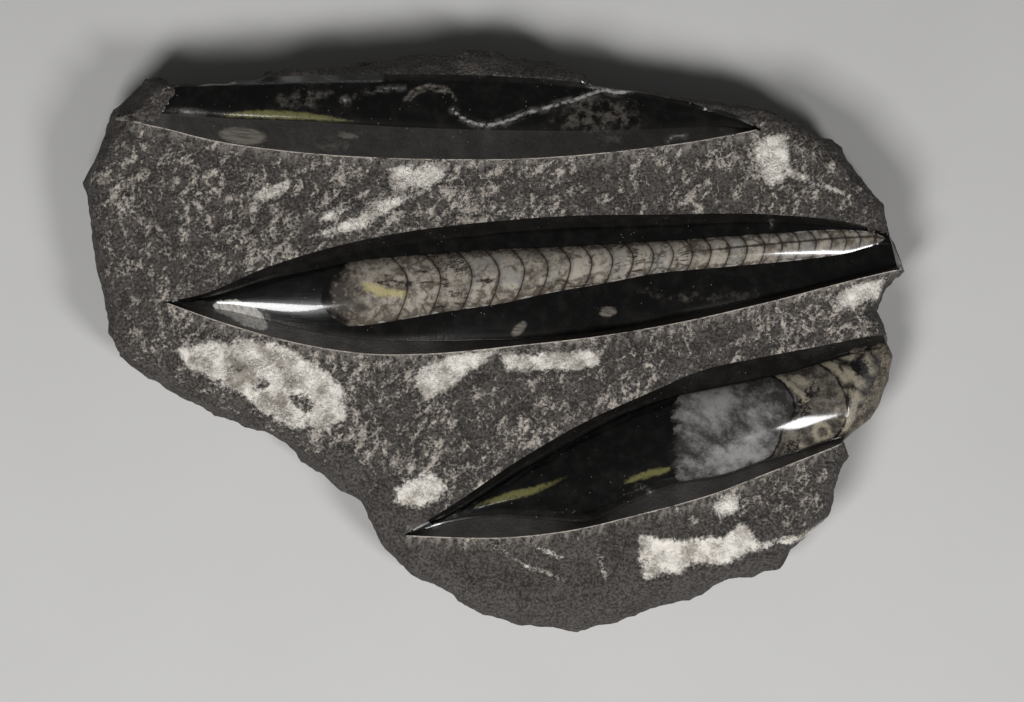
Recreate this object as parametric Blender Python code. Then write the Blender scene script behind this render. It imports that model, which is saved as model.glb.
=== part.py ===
"""Slab of dark limestone with fossil orthocones, ground to half-round ribs in boat-shaped troughs.

The slab lies on a sawn base and is rough outside its three troughs. Plan sizes are in millimetres, x to the
right and y away, from a plan origin near the middle of the slab. Every mesh is made in metres and moved so
that the middle of the slab's base is the world origin.
"""

from dataclasses import dataclass

import bmesh
import bpy
import numpy as np
from mathutils import Vector, noise
from mathutils.geometry import delaunay_2d_cdt

MM = 0.001

# The slab. The world origin is under the middle of the finished slab, at this plan point.
PLAN_MIDDLE = (0.017, -0.504)
TOP = 29.5
OUTLINE = (
    (-110.7, 83.2), (-106.6, 83.8), (-101.8, 81.4), (-84.1, 82.0), (-75.6, 82.9), (-66.7, 86.1),
    (-52.5, 87.0), (-34.2, 89.0), (-13.6, 91.4), (-9.5, 92.5), (-0.3, 92.0), (4.7, 89.3),
    (23.4, 86.7), (31.9, 81.3), (45.9, 79.7), (66.1, 76.1), (88.6, 72.7), (95.8, 69.7),
    (100.0, 66.7), (107.5, 63.1), (113.9, 55.5), (118.0, 50.3), (124.0, 43.3), (126.8, 34.2),
    (130.0, 22.1), (124.3, 16.8), (122.1, 9.2), (124.9, 1.9), (127.8, -5.1), (125.9, -13.0),
    (121.8, -19.6), (119.6, -24.7), (112.1, -32.3), (112.6, -37.0), (107.9, -49.7), (106.3, -55.7),
    (94.6, -66.7), (90.8, -72.1), (73.4, -77.5), (61.5, -82.7), (45.2, -88.1), (26.9, -92.7),
    (15.2, -91.7), (-3.5, -87.5), (-11.7, -81.6), (-25.9, -74.0), (-35.1, -64.2), (-42.4, -51.6),
    (-49.2, -47.6), (-54.1, -41.6), (-63.6, -34.3), (-81.9, -24.7), (-92.2, -21.0), (-110.9, -11.4),
    (-118.8, -4.6), (-123.0, 2.5), (-123.4, 8.5), (-127.3, 29.1), (-129.9, 50.0), (-122.9, 66.7),
    (-120.0, 72.7), (-112.4, 80.3),
)
EDGE_STEP = 5.0
EDGE_JITTER = 0.5

# The broken sides, as rings from the top border to the base: part of the height, inset from the outline and
# depth of the scoops there.
RINGS = (
    (1.0, 1.4, 0.0),
    (0.86, 0.6, 1.6),
    (0.68, 0.2, 2.8),
    (0.5, 0.4, 3.4),
    (0.32, 1.0, 3.2),
    (0.15, 2.0, 2.4),
    (0.0, 3.4, 0.6),
)
SIDE_SCOOP = 12.0
LEDGE = (0.9, 22.0, 5.0)

# The rough top: long swells, knocked-out scoops, lumps and chips, each as height and length, and its rounded
# border.
SWELL = (1.0, 55.0)
SCOOP = (2.0, 12.0)
LUMP = (0.9, 10.0)
CHIP = (0.6, 5.0)
MEAN_SCOOP = 0.25
SHOULDER_DROP = 2.8
SHOULDER_WIDTH = 6.5

# Split flanks that fall away outside a plan line: line start, line end, slope.
FLANKS = (
    ((-75.0, 84.6), (35.0, 83.0), 0.75),
    ((32.0, 80.2), (96.0, 70.0), 0.9),
    ((95.0, -68.0), (42.0, -79.0), 0.9),
    ((42.0, -82.0), (-12.0, -84.0), 0.6),
    ((-28.0, -68.0), (-60.0, -31.0), 0.45),
    ((-62.0, -30.0), (-122.0, 0.0), 0.45),
    ((-119.0, 0.0), (-124.0, 60.0), 0.6),
    ((-122.0, 60.0), (-106.0, 80.0), 0.7),
    ((98.0, 67.0), (124.0, 40.0), 0.6),
    ((112.0, -30.0), (95.0, -68.0), 0.5),
)

# The far end of the lower ridge is broken off and drops away past this line.
BROKEN_END = ((121.0, 4.0), (110.5, -35.0), 0.32)

# How softly a falling-away stretch starts and stops, along its line, and how much of that is past its ends.
STRETCH_FADE = 8.0
HALF_FADE = 0.5

# Where in the noise the outline's jitter and the shoulder's wear are read, and the lengths of both.
JITTER_NOISE = (7.0, 3.0)
WEAR_NOISE = (4.0, 20.0)
LAYER_OFFSET = 9.0

# Meshing: how far apart the points lie, the least gaps between them, and the seam round and under each shell.
ROUGH_STEP = 4.5
ROUGH_JITTER = 0.3
STATION_STEP = 5.2
ROW_GAP = 0.8
NET_GAP = 0.7
NET_BORDER_GAP = 1.6
ROUGH_GAP = 2.2
ROUGH_BORDER_GAP = 2.4
SHELL_EDGE_GAP = 0.9
LEAST_WIDTH = 1e-6
MERGE_GAP = 1e-5
SHARP_ANGLE = 28.0
SEAM = 0.3
FLOOR_SEAM = 0.42


def line(*points):
    """A smooth line through plan points, as a function that gives y at x."""
    xs, ys = np.array(points, float).T
    slopes = np.gradient(ys, xs)

    def y_at(x):
        x = np.clip(x, xs[0], xs[-1])
        i = np.clip(np.searchsorted(xs, x) - 1, 0, len(xs) - 2)
        span = xs[i + 1] - xs[i]
        t = (x - xs[i]) / span
        start = (2 * t**3 - 3 * t**2 + 1) * ys[i] + (t**3 - 2 * t**2 + t) * span * slopes[i]
        end = (3 * t**2 - 2 * t**3) * ys[i + 1] + (t**3 - t**2) * span * slopes[i + 1]
        return start + end

    return y_at


@dataclass(frozen=True)
class Trough:
    """A ground trough and its ridge, between a far rim and a near rim. Each line gives y at x.

    From the far side it has a rim, a wall down to a groove, the ridge with its rib, a groove, a wall and a rim.
    `depth`, `flank` and `rib` give at x how far the grooves lie below the slab's top, and how far the ridge
    and then its rib rise again. `power` is 0.5 for a half-round rib and 1 for a low arch.
    """

    first: float
    last: float
    lines: tuple
    depth: object
    flank: object
    rib: object
    power: float

    def rows(self, x):
        """The six lines at x, from the far rim to the near rim, never crossing."""
        return np.minimum.accumulate(np.array([each(x) for each in self.lines]), axis=0)


UPPER = Trough(
    first=-120.5,
    last=84.1,
    lines=(
        line((-120.5, 70.2), (-108.5, 74.6), (-101.5, 81), (-76.9, 82.9), (-43.3, 83.8), (2.5, 83.2),
             (25.9, 81.6), (46.5, 78.8), (65.8, 74), (80.7, 69.1), (84.1, 66.7)),
        line((-120.5, 70.2), (-108.5, 73.6), (-101.5, 79.6), (-76.9, 81.4), (-43.3, 82.2), (2.5, 81.6),
             (25.9, 80), (46.5, 77.4), (65.8, 72.9), (80.7, 68.4), (84.1, 66.7)),
        line((-120.5, 70.2), (-108.5, 73.4), (-101.5, 79.0), (-76.9, 80.8), (-43.3, 81.6), (2.5, 81.0),
             (25.9, 79.4), (46.5, 76.9), (65.8, 72.6), (80.7, 68.2), (84.1, 66.7)),
        line((-120.5, 70.2), (-103.7, 72), (-84.8, 70.6), (-61, 69.7), (-29.4, 67.8), (-7.3, 67),
             (40.2, 66.8), (62.3, 67.6), (73.4, 67.8), (84.1, 66.6)),
        line((-120.5, 70.2), (-103.7, 71.6), (-84.8, 70.2), (-61, 69.3), (-29.4, 67.4), (-7.3, 66.6),
             (40.2, 66.4), (62.3, 67.3), (73.4, 67.6), (84.1, 66.6)),
        line((-120.5, 70.2), (-105.3, 67.2), (-90.1, 63.4), (-56, 58.8), (-17.7, 57.1), (17.4, 57.6),
             (41.8, 59.8), (61, 62.3), (77.5, 65.2), (84.1, 66.6)),
    ),
    depth=line((-120.5, 0.8), (-105, 1.8), (-70, 2.4), (0, 2.6), (50, 2.4), (75, 2.4), (84.1, 1.4)),
    flank=line((-120.5, 0), (84.1, 0)),
    rib=line((-120.5, 0.1), (-105, 0.4), (-70, 0.8), (-45, 0.7), (0, 0.45), (50, 0.4), (75, 0.2), (84.1, 0.1)),
    power=1.0,
)

MIDDLE = Trough(
    first=-103.7,
    last=132.0,
    lines=(
        line((-103.7, 12), (-92.2, 14.3), (-71.1, 23), (-38.7, 32.1), (-6.2, 36.8), (19.2, 38.9),
             (53.3, 39.6), (87.4, 39.6), (117.2, 36), (132, 31.2)),
        line((-103.7, 12), (-92.2, 13.4), (-71.1, 20), (-38.7, 28.6), (-6.2, 33.2), (19.2, 35.4),
             (53.3, 36.4), (87.4, 37.4), (112.9, 35.9), (121.5, 34.8), (132, 30.8)),
        line((-103.7, 12), (-92.2, 13.1), (-71.1, 19.2), (-55, 22.6), (-42.7, 25.2), (-30.6, 26.4),
             (-10.3, 28.1), (27.8, 30), (61.8, 32.1), (95.9, 34.4), (112.9, 34.9), (121.5, 34), (132, 30.4)),
        line((-103.7, 12), (-83.2, 9.5), (-71.2, 6.9), (-55, 4.6), (-41.1, 4.6), (-30.6, 6.2), (-14.3, 9),
             (1.9, 11.4), (19.2, 15.1), (36.3, 18.1), (49, 20.6), (74.6, 23.2), (100.1, 25.7),
             (112.9, 27.7), (121.5, 30), (132, 29.8)),
        line((-103.7, 12), (-83.2, 9.1), (-71.2, 6.2), (-54.7, 2.2), (-38.6, 0), (-26.6, -0.3), (-2.2, 0),
             (10, 0.4), (32, 2.6), (49, 5.2), (70.3, 10), (87.4, 13.4), (117.2, 21), (132, 24.6)),
        line((-103.7, 12), (-87.3, 6.2), (-71.1, 1.3), (-54.9, -2.3), (-38.7, -4.4), (-22.5, -4.4),
             (10, -1.5), (32, 1), (57.6, 5.3), (87.4, 12.1), (117.2, 19.8), (132, 23.2)),
    ),
    depth=line((-103.7, 1.5), (-95, 4.2), (-80, 4.5), (-55, 4.1), (-35, 5.1), (0, 6.2), (40, 6), (78, 5.4),
               (88, 5.6), (100, 6.1), (112, 6.8), (120, 7.2), (132, 8.1)),
    flank=line((-103.7, 0), (-80, 0.1), (-55, 0.3), (-35, 0.9), (0, 2.2), (40, 2.3), (78, 1.5), (88, 1.1),
               (100, 0.7), (112, 0.35), (132, 0.1)),
    rib=line((-103.7, 0.2), (-95, 1), (-80, 1.8), (-55, 2.8), (-35, 3.8), (0, 4.2), (40, 3.2), (78, 2.1),
             (88, 1.9), (100, 1.2), (112, 0.5), (120, 0.3), (132, 0.2)),
    power=0.85,
)

LOWER = Trough(
    first=-28.2,
    last=132.0,
    lines=(
        line((-28.2, -61.6), (-13.9, -52.8), (8.1, -38), (30, -25.4), (51.8, -15.6), (62.8, -10.7),
             (84.7, -5.5), (106.6, -1.3), (117.5, 0.9), (132, 2.2)),
        line((-28.2, -61.6), (-13.9, -54.8), (7.9, -41.1), (19, -34.8), (40.8, -23.1), (56.2, -17.6),
             (73.7, -13.9), (95.6, -9), (117.5, -2.7), (132, 0.8)),
        line((-28.2, -61.6), (-13.9, -55.2), (7.9, -41.8), (19, -35.6), (40.8, -23.8), (56.2, -18.2),
             (73.7, -14.5), (95.6, -9.6), (117.5, -3.3), (132, 0.2)),
        line((-28.2, -61.6), (-13.9, -57.2), (0, -55.4), (18, -56.2), (30, -56.6), (45.2, -50),
             (57.3, -45.6), (73.7, -42.4), (84.7, -38.5), (106.6, -31.9), (132, -22)),
        line((-28.2, -61.6), (-13.9, -57.8), (0, -56), (18, -57), (30, -57.4), (45.2, -50.8),
             (57.3, -46.2), (73.7, -43), (84.7, -39.1), (106.6, -32.5), (132, -22.6)),
        line((-28.2, -61.6), (-13.9, -62.3), (2.5, -62.4), (24.5, -60.1), (46.4, -55), (68.3, -49),
             (90.1, -40.7), (112.1, -32), (132, -24)),
    ),
    depth=line((-28.2, 1.2), (-15, 3.6), (10, 4.6), (50, 5.2), (80, 5.2), (93, 5.4), (100, 5.85), (107, 6.5),
               (118, 7.6), (132, 9.2)),
    flank=line((-28.2, 0), (10, 0.4), (132, 0.5)),
    rib=line((-28.2, 0.2), (-15, 1.4), (10, 3.6), (50, 5.3), (80, 5.6), (93, 5.4), (100, 4.95), (107, 4.3),
             (118, 2.9), (132, 1.4)),
    power=0.75,
)

TROUGHS = (UPPER, MIDDLE, LOWER)


@dataclass(frozen=True)
class Shell:
    """The fossil in a ridge: it fills the rib from `first` to `last` and has its own outline beyond them."""

    name: str
    trough: Trough
    first: float
    last: float
    blunt_end: tuple
    far_end: tuple
    colour: tuple
    roughness: float

    def outline(self):
        """The shell's plan outline, counterclockwise."""
        xs = np.linspace(self.first, self.last, round((self.last - self.first) / STATION_STEP) + 1)
        rows = self.trough.rows(xs)
        far_side = np.column_stack([xs, rows[2]])[::-1]
        near_side = np.column_stack([xs, rows[3]])
        return np.vstack([near_side, self.far_end, far_side, self.blunt_end])


SHELLS = (
    Shell(
        name="middle_orthocone",
        trough=MIDDLE,
        first=-46.0,
        last=120.0,
        blunt_end=((-49.5, 21.5), (-53.5, 17.0), (-54.5, 12.0), (-51.5, 7.5)),
        far_end=((123.2, 31.2), (124.6, 32.2), (123.4, 33.1)),
        colour=(0.42, 0.37, 0.30),
        roughness=0.22,
    ),
    Shell(
        name="lower_orthocone",
        trough=LOWER,
        first=59.0,
        last=112.0,
        blunt_end=((55.5, -22.5), (57.0, -29.0), (54.8, -35.0), (56.2, -41.5)),
        far_end=((115.2, -25.0), (118.0, -19.0), (121.6, -12.0), (123.6, -6.0), (122.6, -2.9),
                 (117.6, -4.1)),
        colour=(0.40, 0.35, 0.27),
        roughness=0.3,
    ),
)

POCKET_SIDE = 0.3
POCKET_ROUND = 0.55
POCKET_POWER = 0.7
RIB_ROWS = (-0.82, -0.55, -0.2, 0.2, 0.55, 0.82)


def clear_scene():
    for obj in list(bpy.data.objects):
        bpy.data.objects.remove(obj, do_unlink=True)


def material(name, colour, roughness):
    """A Principled material with the piece's colour and finish."""
    made = bpy.data.materials.new(name)
    made.use_nodes = True
    shader = made.node_tree.nodes["Principled BSDF"]
    shader.inputs["Base Color"].default_value = (*colour, 1.0)
    shader.inputs["Roughness"].default_value = roughness
    shader.inputs["Metallic"].default_value = 0.0
    made.diffuse_color = (*colour, 1.0)
    return made


def noise_at(x, y, z, size):
    """Smooth noise from about -1 to 1 at each point, with lumps of the size given."""
    return np.array([noise.noise(Vector(point) / size) for point in zip(x, y, z)])


def scoops_at(x, y, z, size):
    """Shallow hollows of the size given, 0 in the middle of each and rising to sharp edges between them."""
    nearest = [noise.voronoi(Vector(point) / size)[0][0] for point in zip(x, y, z)]
    return np.clip(nearest, 0, 1) ** 2


def slab_outline():
    """The slab's outline in short steps, broken up a little, clockwise as listed."""
    corners = np.array(OUTLINE)
    points = []
    for start, end in zip(corners, np.roll(corners, -1, axis=0)):
        count = max(1, round(np.hypot(*(end - start)) / EDGE_STEP))
        points += [start + (end - start) * i / count for i in range(count)]
    points = np.array(points)
    x, y = points.T
    offset, length = JITTER_NOISE
    return points + outward(points) * (EDGE_JITTER * noise_at(x, y, 0 * x + offset, length))[:, None]


def outward(points):
    """The outward direction at each point of a clockwise outline."""
    along = np.roll(points, -1, axis=0) - np.roll(points, 1, axis=0)
    across = np.column_stack([-along[:, 1], along[:, 0]])
    return across / np.linalg.norm(across, axis=1)[:, None]


def distance_to(outline, points):
    """The distance from each point to a closed outline."""
    start = outline[None]
    span = np.roll(outline, -1, axis=0)[None] - start
    offset = points[:, None] - start
    t = np.clip((offset * span).sum(2) / (span**2).sum(2), 0, 1)
    return np.linalg.norm(offset - t[..., None] * span, axis=2).min(1)


def inside(outline, points):
    """Whether each point is within a closed outline."""
    start = outline[None]
    end = np.roll(outline, -1, axis=0)[None]
    x, y = points[:, None, 0], points[:, None, 1]
    spans = (start[..., 1] > y) != (end[..., 1] > y)
    rise = np.where(spans, end[..., 1] - start[..., 1], 1.0)
    crossing = start[..., 0] + (y - start[..., 1]) / rise * (end[..., 0] - start[..., 0])
    return (spans & (x < crossing)).sum(1) % 2 == 1


def level(x, y):
    """The slab's top without its lumps."""
    size, length = SWELL
    return TOP + size * noise_at(x, y, 0 * x, length)


def rough(x, y, border):
    """The height of the rough stone, lumpy and falling away at the border and down the split flanks."""
    z = level(x, y)
    for (size, length), layer in ((LUMP, 1.0), (CHIP, 2.0)):
        z += size * noise_at(x, y, 0 * x + LAYER_OFFSET * layer, length)
    size, length = SCOOP
    z += size * (scoops_at(x, y, 0 * x, length) - MEAN_SCOOP)
    near = np.clip(1 - distance_to(border, np.column_stack([x, y])) / SHOULDER_WIDTH, 0, 1)
    offset, length = WEAR_NOISE
    z -= SHOULDER_DROP * near**2 * (1 + noise_at(x, y, 0 * x + offset, length))
    for start, end, slope in FLANKS:
        z -= slope * beyond(x, y, start, end)
    return z


def beyond(x, y, start, end):
    """How far a point lies on the outer, left-hand side of a line's stretch, fading out past its ends."""
    (x0, y0), (x1, y1) = start, end
    length = np.hypot(x1 - x0, y1 - y0)
    along = ((x - x0) * (x1 - x0) + (y - y0) * (y1 - y0)) / length
    across = ((y - y0) * (x1 - x0) - (x - x0) * (y1 - y0)) / length
    fade = np.clip(np.minimum(along, length - along) / STRETCH_FADE + HALF_FADE, 0, 1)
    return np.clip(across, 0, None) * fade


def arch(y, near, far, power):
    """A rounded profile from 0 at `near` and `far` to 1 midway."""
    half = np.maximum((far - near) / 2, LEAST_WIDTH)
    u = np.clip((y - (near + far) / 2) / half, -1, 1)
    return (1 - u**2) ** power


def trough_height(trough, x, y, border):
    """The height inside a trough: walls, grooves and the ridge with its rib."""
    far_rim, far_groove, rib_far, rib_near, near_groove, near_rim = trough.rows(x)
    floor = level(x, y) - trough.depth(x)
    ridge = trough.flank(x) * arch(y, near_groove, far_groove, trough.power)
    rib = trough.rib(x) * arch(y, rib_near, rib_far, trough.power)
    up_far = np.clip((y - far_groove) / np.maximum(far_rim - far_groove, LEAST_WIDTH), 0, 1)
    up_near = np.clip((near_groove - y) / np.maximum(near_groove - near_rim, LEAST_WIDTH), 0, 1)
    far_wall = up_far * (rough(x, far_rim, border) - floor)
    near_wall = up_near * (rough(x, near_rim, border) - floor)
    return floor + ridge + rib + far_wall + near_wall


def in_trough(trough, x, y):
    """Whether each point lies between the trough's rims."""
    rows = trough.rows(x)
    return (x > trough.first) & (x < trough.last) & (y < rows[0]) & (y > rows[-1])


def surface(points, border):
    """The height of the slab's top at each plan point."""
    x, y = points.T
    z = rough(x, y, border)
    for trough in TROUGHS:
        within = in_trough(trough, x, y)
        if within.any():
            z[within] = trough_height(trough, x[within], y[within], border)
    start, end, slope = BROKEN_END
    return z - slope * beyond(x, y, start, end)


def trough_net(trough):
    """Points along the trough's lines and over its rib, and the pairs of points that are edges."""
    points, edges = [], []
    previous = {}
    for x in np.linspace(trough.first, trough.last, round((trough.last - trough.first) / STATION_STEP) + 1):
        rows = trough.rows(x)
        middle, half = (rows[2] + rows[3]) / 2, (rows[2] - rows[3]) / 2
        wanted = [(i, rows[i]) for i in (0, 5, 1, 4, 2, 3)]
        wanted += [("rib", middle + u * half) for u in RIB_ROWS]
        wanted += [("flank", (rows[3] + rows[4]) / 2), ("far flank", (rows[1] + rows[2]) / 2)]
        kept, current = [], {}
        for name, y in wanted:
            if all(abs(y - other) > ROW_GAP for other in kept):
                kept.append(y)
                current[name] = len(points)
                points.append((x, y))
        both = [name for name in range(6) if name in previous and name in current]
        edges += [(previous[name], current[name]) for name in both]
        previous = current
    return np.array(points), edges


def rough_net(border):
    """Scattered points over the rough stone."""
    random = np.random.default_rng(5)
    (left, bottom), (right, top) = border.min(0), border.max(0)
    xs = np.arange(left, right, ROUGH_STEP)
    ys = np.arange(bottom, top, ROUGH_STEP * 0.87)
    grid = np.array([(x + ROUGH_STEP / 2 * (j % 2), y) for j, y in enumerate(ys) for x in xs])
    grid = grid + random.uniform(-ROUGH_JITTER, ROUGH_JITTER, grid.shape) * ROUGH_STEP
    for trough in TROUGHS:
        grid = grid[~in_trough(trough, *grid.T)]
    return grid


def thinned(points, others, gap):
    """Which points keep a gap to all the others."""
    return np.array([np.hypot(*(others - point).T).min() > gap for point in points])


def plan_mesh(loops, points, edges=()):
    """A triangulated plan of loops and loose points: its points, its triangles and each loop's numbers."""
    every = [Vector(p) for loop in loops for p in loop] + [Vector(p) for p in points]
    fixed, rings = [], []
    count = 0
    for loop in loops:
        ring = list(range(count, count + len(loop)))
        fixed += list(zip(ring, ring[1:] + ring[:1]))
        rings.append(ring)
        count += len(loop)
    fixed += [(a + count, b + count) for a, b in edges]
    verts, _, faces, origins, _, _ = delaunay_2d_cdt(every, fixed, [], 0, MERGE_GAP)
    now = {old: new for new, olds in enumerate(origins) for old in olds}
    return np.array(verts), [list(face) for face in faces], [[now[i] for i in ring] for ring in rings]


def slab_plan(border, pockets):
    """The plan triangles of the slab's top, inside its border."""
    loops = [border, *pockets]
    loop_points = np.vstack(loops)
    points, edges = [], []
    taken = loop_points
    for trough in TROUGHS:
        net, pairs = trough_net(trough)
        clear = distance_to(border, net) > NET_BORDER_GAP
        keep = inside(border, net) & clear & thinned(net, taken, NET_GAP)
        numbers = np.cumsum(keep) - 1 + len(points)
        edges += [(numbers[a], numbers[b]) for a, b in pairs if keep[a] and keep[b]]
        points += list(net[keep])
        taken = np.vstack([taken, net[keep]])
    edges = [pair for pair in edges if not enters(pockets, points, pair)]
    grid = rough_net(border)
    within = inside(border, grid) & (distance_to(border, grid) > ROUGH_BORDER_GAP)
    grid = grid[within & thinned(grid, taken, ROUGH_GAP)]
    return plan_mesh(loops, points + list(grid), edges)


def enters(pockets, points, pair):
    """Whether either end of an edge lies in a pocket."""
    ends = np.array([points[pair[0]], points[pair[1]]])
    return any(inside(pocket, ends).any() for pocket in pockets)


def pocket_depth(shell, points):
    """How far the shell reaches below the ground surface: most along its middle."""
    x, y = points.T
    rows = shell.trough.rows(x)
    half = (rows[2] - rows[3]) / 2
    return half * (POCKET_SIDE + POCKET_ROUND * arch(y, rows[3], rows[2], POCKET_POWER))


def new_object(name, bm, materials):
    """A named object from a bmesh in millimetres of plan, facing out, with the origin under the slab."""
    bmesh.ops.recalc_face_normals(bm, faces=bm.faces)
    bmesh.ops.translate(bm, vec=(-PLAN_MIDDLE[0], -PLAN_MIDDLE[1], 0), verts=bm.verts)
    bmesh.ops.scale(bm, vec=(MM, MM, MM), verts=bm.verts)
    mesh = bpy.data.meshes.new(name)
    bm.to_mesh(mesh)
    bm.free()
    mesh.shade_smooth()
    mesh.set_sharp_from_angle(angle=np.radians(SHARP_ANGLE))
    obj = bpy.data.objects.new(name, mesh)
    for each in materials:
        mesh.materials.append(each)
    bpy.context.scene.collection.objects.link(obj)
    return obj


def sheet(verts, heights, faces):
    """A bmesh sheet of plan triangles at their heights."""
    bm = bmesh.new()
    made = [bm.verts.new((x, y, z)) for (x, y), z in zip(verts, heights)]
    for face in faces:
        bm.faces.new([made[i] for i in face])
    bm.verts.index_update()
    bm.faces.index_update()
    return bm, made


def sink(bm, faces, depth_at):
    """Presses faces straight down by a depth for each plan point, with a wall round them."""
    done = bmesh.ops.extrude_face_region(bm, geom=faces)
    moved = [v for v in done["geom"] if isinstance(v, bmesh.types.BMVert)]
    depths = depth_at(np.array([v.co.xy for v in moved]))
    for vert, depth in zip(moved, depths):
        vert.co.z -= depth
    bmesh.ops.delete(bm, geom=[f for f in faces if f.is_valid], context="FACES")


def build_slab(outline, shells):
    """The slab: its rough top with troughs and shell pockets, its broken sides and its sawn base."""
    normals = outward(outline)
    border = outline - normals * RINGS[0][1]
    pockets = [shell.outline() for shell in shells]
    verts, faces, rings = slab_plan(border, pockets)
    centres = np.array([np.mean([verts[i] for i in face], axis=0) for face in faces])
    kept = [face for face, ok in zip(faces, inside(border, centres)) if ok]
    heights = surface(verts, border)
    bm, made = sheet(verts, heights, kept)
    polish_troughs(bm)
    for shell, pocket in zip(shells, pockets):
        middles = np.array([f.calc_center_median().xy for f in bm.faces])
        within = [f for f, ok in zip(bm.faces, inside(pocket, middles)) if ok]
        sink(bm, within, lambda p, shell=shell: pocket_depth(shell, p) + FLOOR_SEAM)
    tops = [made[i] for i in rings[0]]
    add_sides(bm, tops, outline, normals)
    return new_object("matrix", bm, (rough_stone(), polished_stone()))


def polish_troughs(bm):
    """Gives the faces within the troughs the polished finish, the second material slot."""
    middles = np.array([f.calc_center_median().xy for f in bm.faces])
    ground = np.any([in_trough(trough, *middles.T) for trough in TROUGHS], axis=0)
    for face, ok in zip(bm.faces, ground):
        face.material_index = int(ok)


def add_sides(bm, tops, outline, normals):
    """Rings of stone from the top border down to the base, then the base."""
    high = np.array([v.co.z for v in tops])
    above = tops
    for part, inset, scoop in RINGS[1:]:
        z = high * part
        hollows = scoop * (MEAN_SCOOP - scoops_at(*outline.T, z, SIDE_SCOOP))
        ledges = LEDGE[0] * part * noise_at(*outline.T, z * LEDGE[1] / LEDGE[2], LEDGE[1])
        places = outline - normals * (inset + hollows + ledges)[:, None]
        ring = [bm.verts.new((*place, height)) for place, height in zip(places, z)]
        for i, vert in enumerate(ring):
            bm.faces.new([above[i - 1], above[i], vert, ring[i - 1]])
        above = ring
    bm.faces.new(above)


def build_shell(shell, outline):
    """The fossil: the ground rib above and its rounded underside in the pocket."""
    border = outline - outward(outline) * RINGS[0][1]
    edge = shell.outline()
    edge = edge + outward(edge) * SEAM
    net, _ = trough_net(shell.trough)
    net = net[inside(edge, net) & (distance_to(edge, net) > SHELL_EDGE_GAP)]
    verts, faces, rings = plan_mesh([edge], net)
    centres = np.array([np.mean([verts[i] for i in face], axis=0) for face in faces])
    kept = [face for face, ok in zip(faces, inside(edge, centres)) if ok]
    top = surface(verts, border)
    bottom = top - pocket_depth(shell, verts)
    bm, above = sheet(verts, top, kept)
    below = [bm.verts.new((x, y, z)) for (x, y), z in zip(verts, bottom)]
    for face in kept:
        bm.faces.new([below[i] for i in reversed(face)])
    ring = rings[0]
    for a, b in zip(ring, ring[1:] + ring[:1]):
        bm.faces.new([above[b], above[a], below[a], below[b]])
    return new_object(shell.name, bm, (material(shell.name, shell.colour, shell.roughness),))


def rough_stone():
    return material("rough_limestone", (0.12, 0.108, 0.10), 0.85)


def polished_stone():
    return material("polished_limestone", (0.012, 0.011, 0.011), 0.12)


def main():
    clear_scene()
    outline = slab_outline()
    build_slab(outline, SHELLS)
    for shell in SHELLS:
        build_shell(shell, outline)


main()
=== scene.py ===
"""Looks for a slab of dark limestone that holds two polished fossil orthocones.

The slab is rough outside three boat-shaped troughs, each ground down to a polished ridge. Plan sizes are in
millimetres from a plan origin near the middle of the slab, as in the part's own source. Meshes are made in
plan millimetres and moved to the frame's metres at the end.
"""

import logging
import math
from collections.abc import Callable, Sequence
from dataclasses import dataclass
from enum import Enum

import bpy
import numpy as np
from mathutils import Vector, kdtree, noise
from mathutils.geometry import delaunay_2d_cdt
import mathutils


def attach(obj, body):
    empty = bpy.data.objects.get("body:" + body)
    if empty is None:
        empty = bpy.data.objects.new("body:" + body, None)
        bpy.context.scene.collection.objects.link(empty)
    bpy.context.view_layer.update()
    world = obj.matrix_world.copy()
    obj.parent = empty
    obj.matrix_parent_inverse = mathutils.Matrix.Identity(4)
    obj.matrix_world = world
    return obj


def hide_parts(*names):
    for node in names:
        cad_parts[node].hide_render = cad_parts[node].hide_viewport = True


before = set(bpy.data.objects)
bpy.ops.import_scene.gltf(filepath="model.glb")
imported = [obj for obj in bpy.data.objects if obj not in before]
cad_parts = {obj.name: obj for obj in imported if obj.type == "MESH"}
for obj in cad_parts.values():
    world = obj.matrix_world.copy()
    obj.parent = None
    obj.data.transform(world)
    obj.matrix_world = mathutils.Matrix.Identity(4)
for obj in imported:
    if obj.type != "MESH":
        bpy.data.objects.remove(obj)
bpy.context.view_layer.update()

log = logging.getLogger("orthoceras")

# A millimetre in the frame's metres, and the plan point that lies over the frame's origin.
MM = 0.001
PLAN_MIDDLE = (0.017, -0.504)

# Distances to marks are kept up to this many millimetres.
FAR_AWAY = 30.0

# Noise mostly stays within a sixth of its middle value, so this many times its span makes a whole wander.
NOISE_SPAN = 6.0

# A fade over some length is half done at the place that it is measured from.
HALF_FADE = 0.5

# Below this width, in millimetres, a strip is treated as no strip at all.
LEAST_WIDTH = 1e-6

# Points nearer than these, in millimetres, become one: in a sheet's triangles, and where two sheets join.
MERGE_GAP = 1e-5
WELD_GAP = 1e-4

Colour = tuple[float, float, float]
Place = tuple[float, float]


# --------------------------------------------------------------------------------------------------------
# Plan geometry
# --------------------------------------------------------------------------------------------------------


class Line:
    """A smooth line through plan points, which gives y at x."""

    def __init__(self, *points: Place) -> None:
        """Takes the points that the line passes through, from left to right."""
        self.xs, self.ys = np.array(points, float).T
        self.slopes = np.gradient(self.ys, self.xs)

    def __call__(self, x: np.ndarray | float) -> np.ndarray:
        """The line's y at each x, level past its ends."""
        x = np.clip(x, self.xs[0], self.xs[-1])
        i = np.clip(np.searchsorted(self.xs, x) - 1, 0, len(self.xs) - 2)
        span = self.xs[i + 1] - self.xs[i]
        t = (x - self.xs[i]) / span
        start = (2 * t**3 - 3 * t**2 + 1) * self.ys[i] + (t**3 - 2 * t**2 + t) * span * self.slopes[i]
        end = (3 * t**2 - 2 * t**3) * self.ys[i + 1] + (t**3 - t**2) * span * self.slopes[i + 1]
        return start + end


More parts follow.
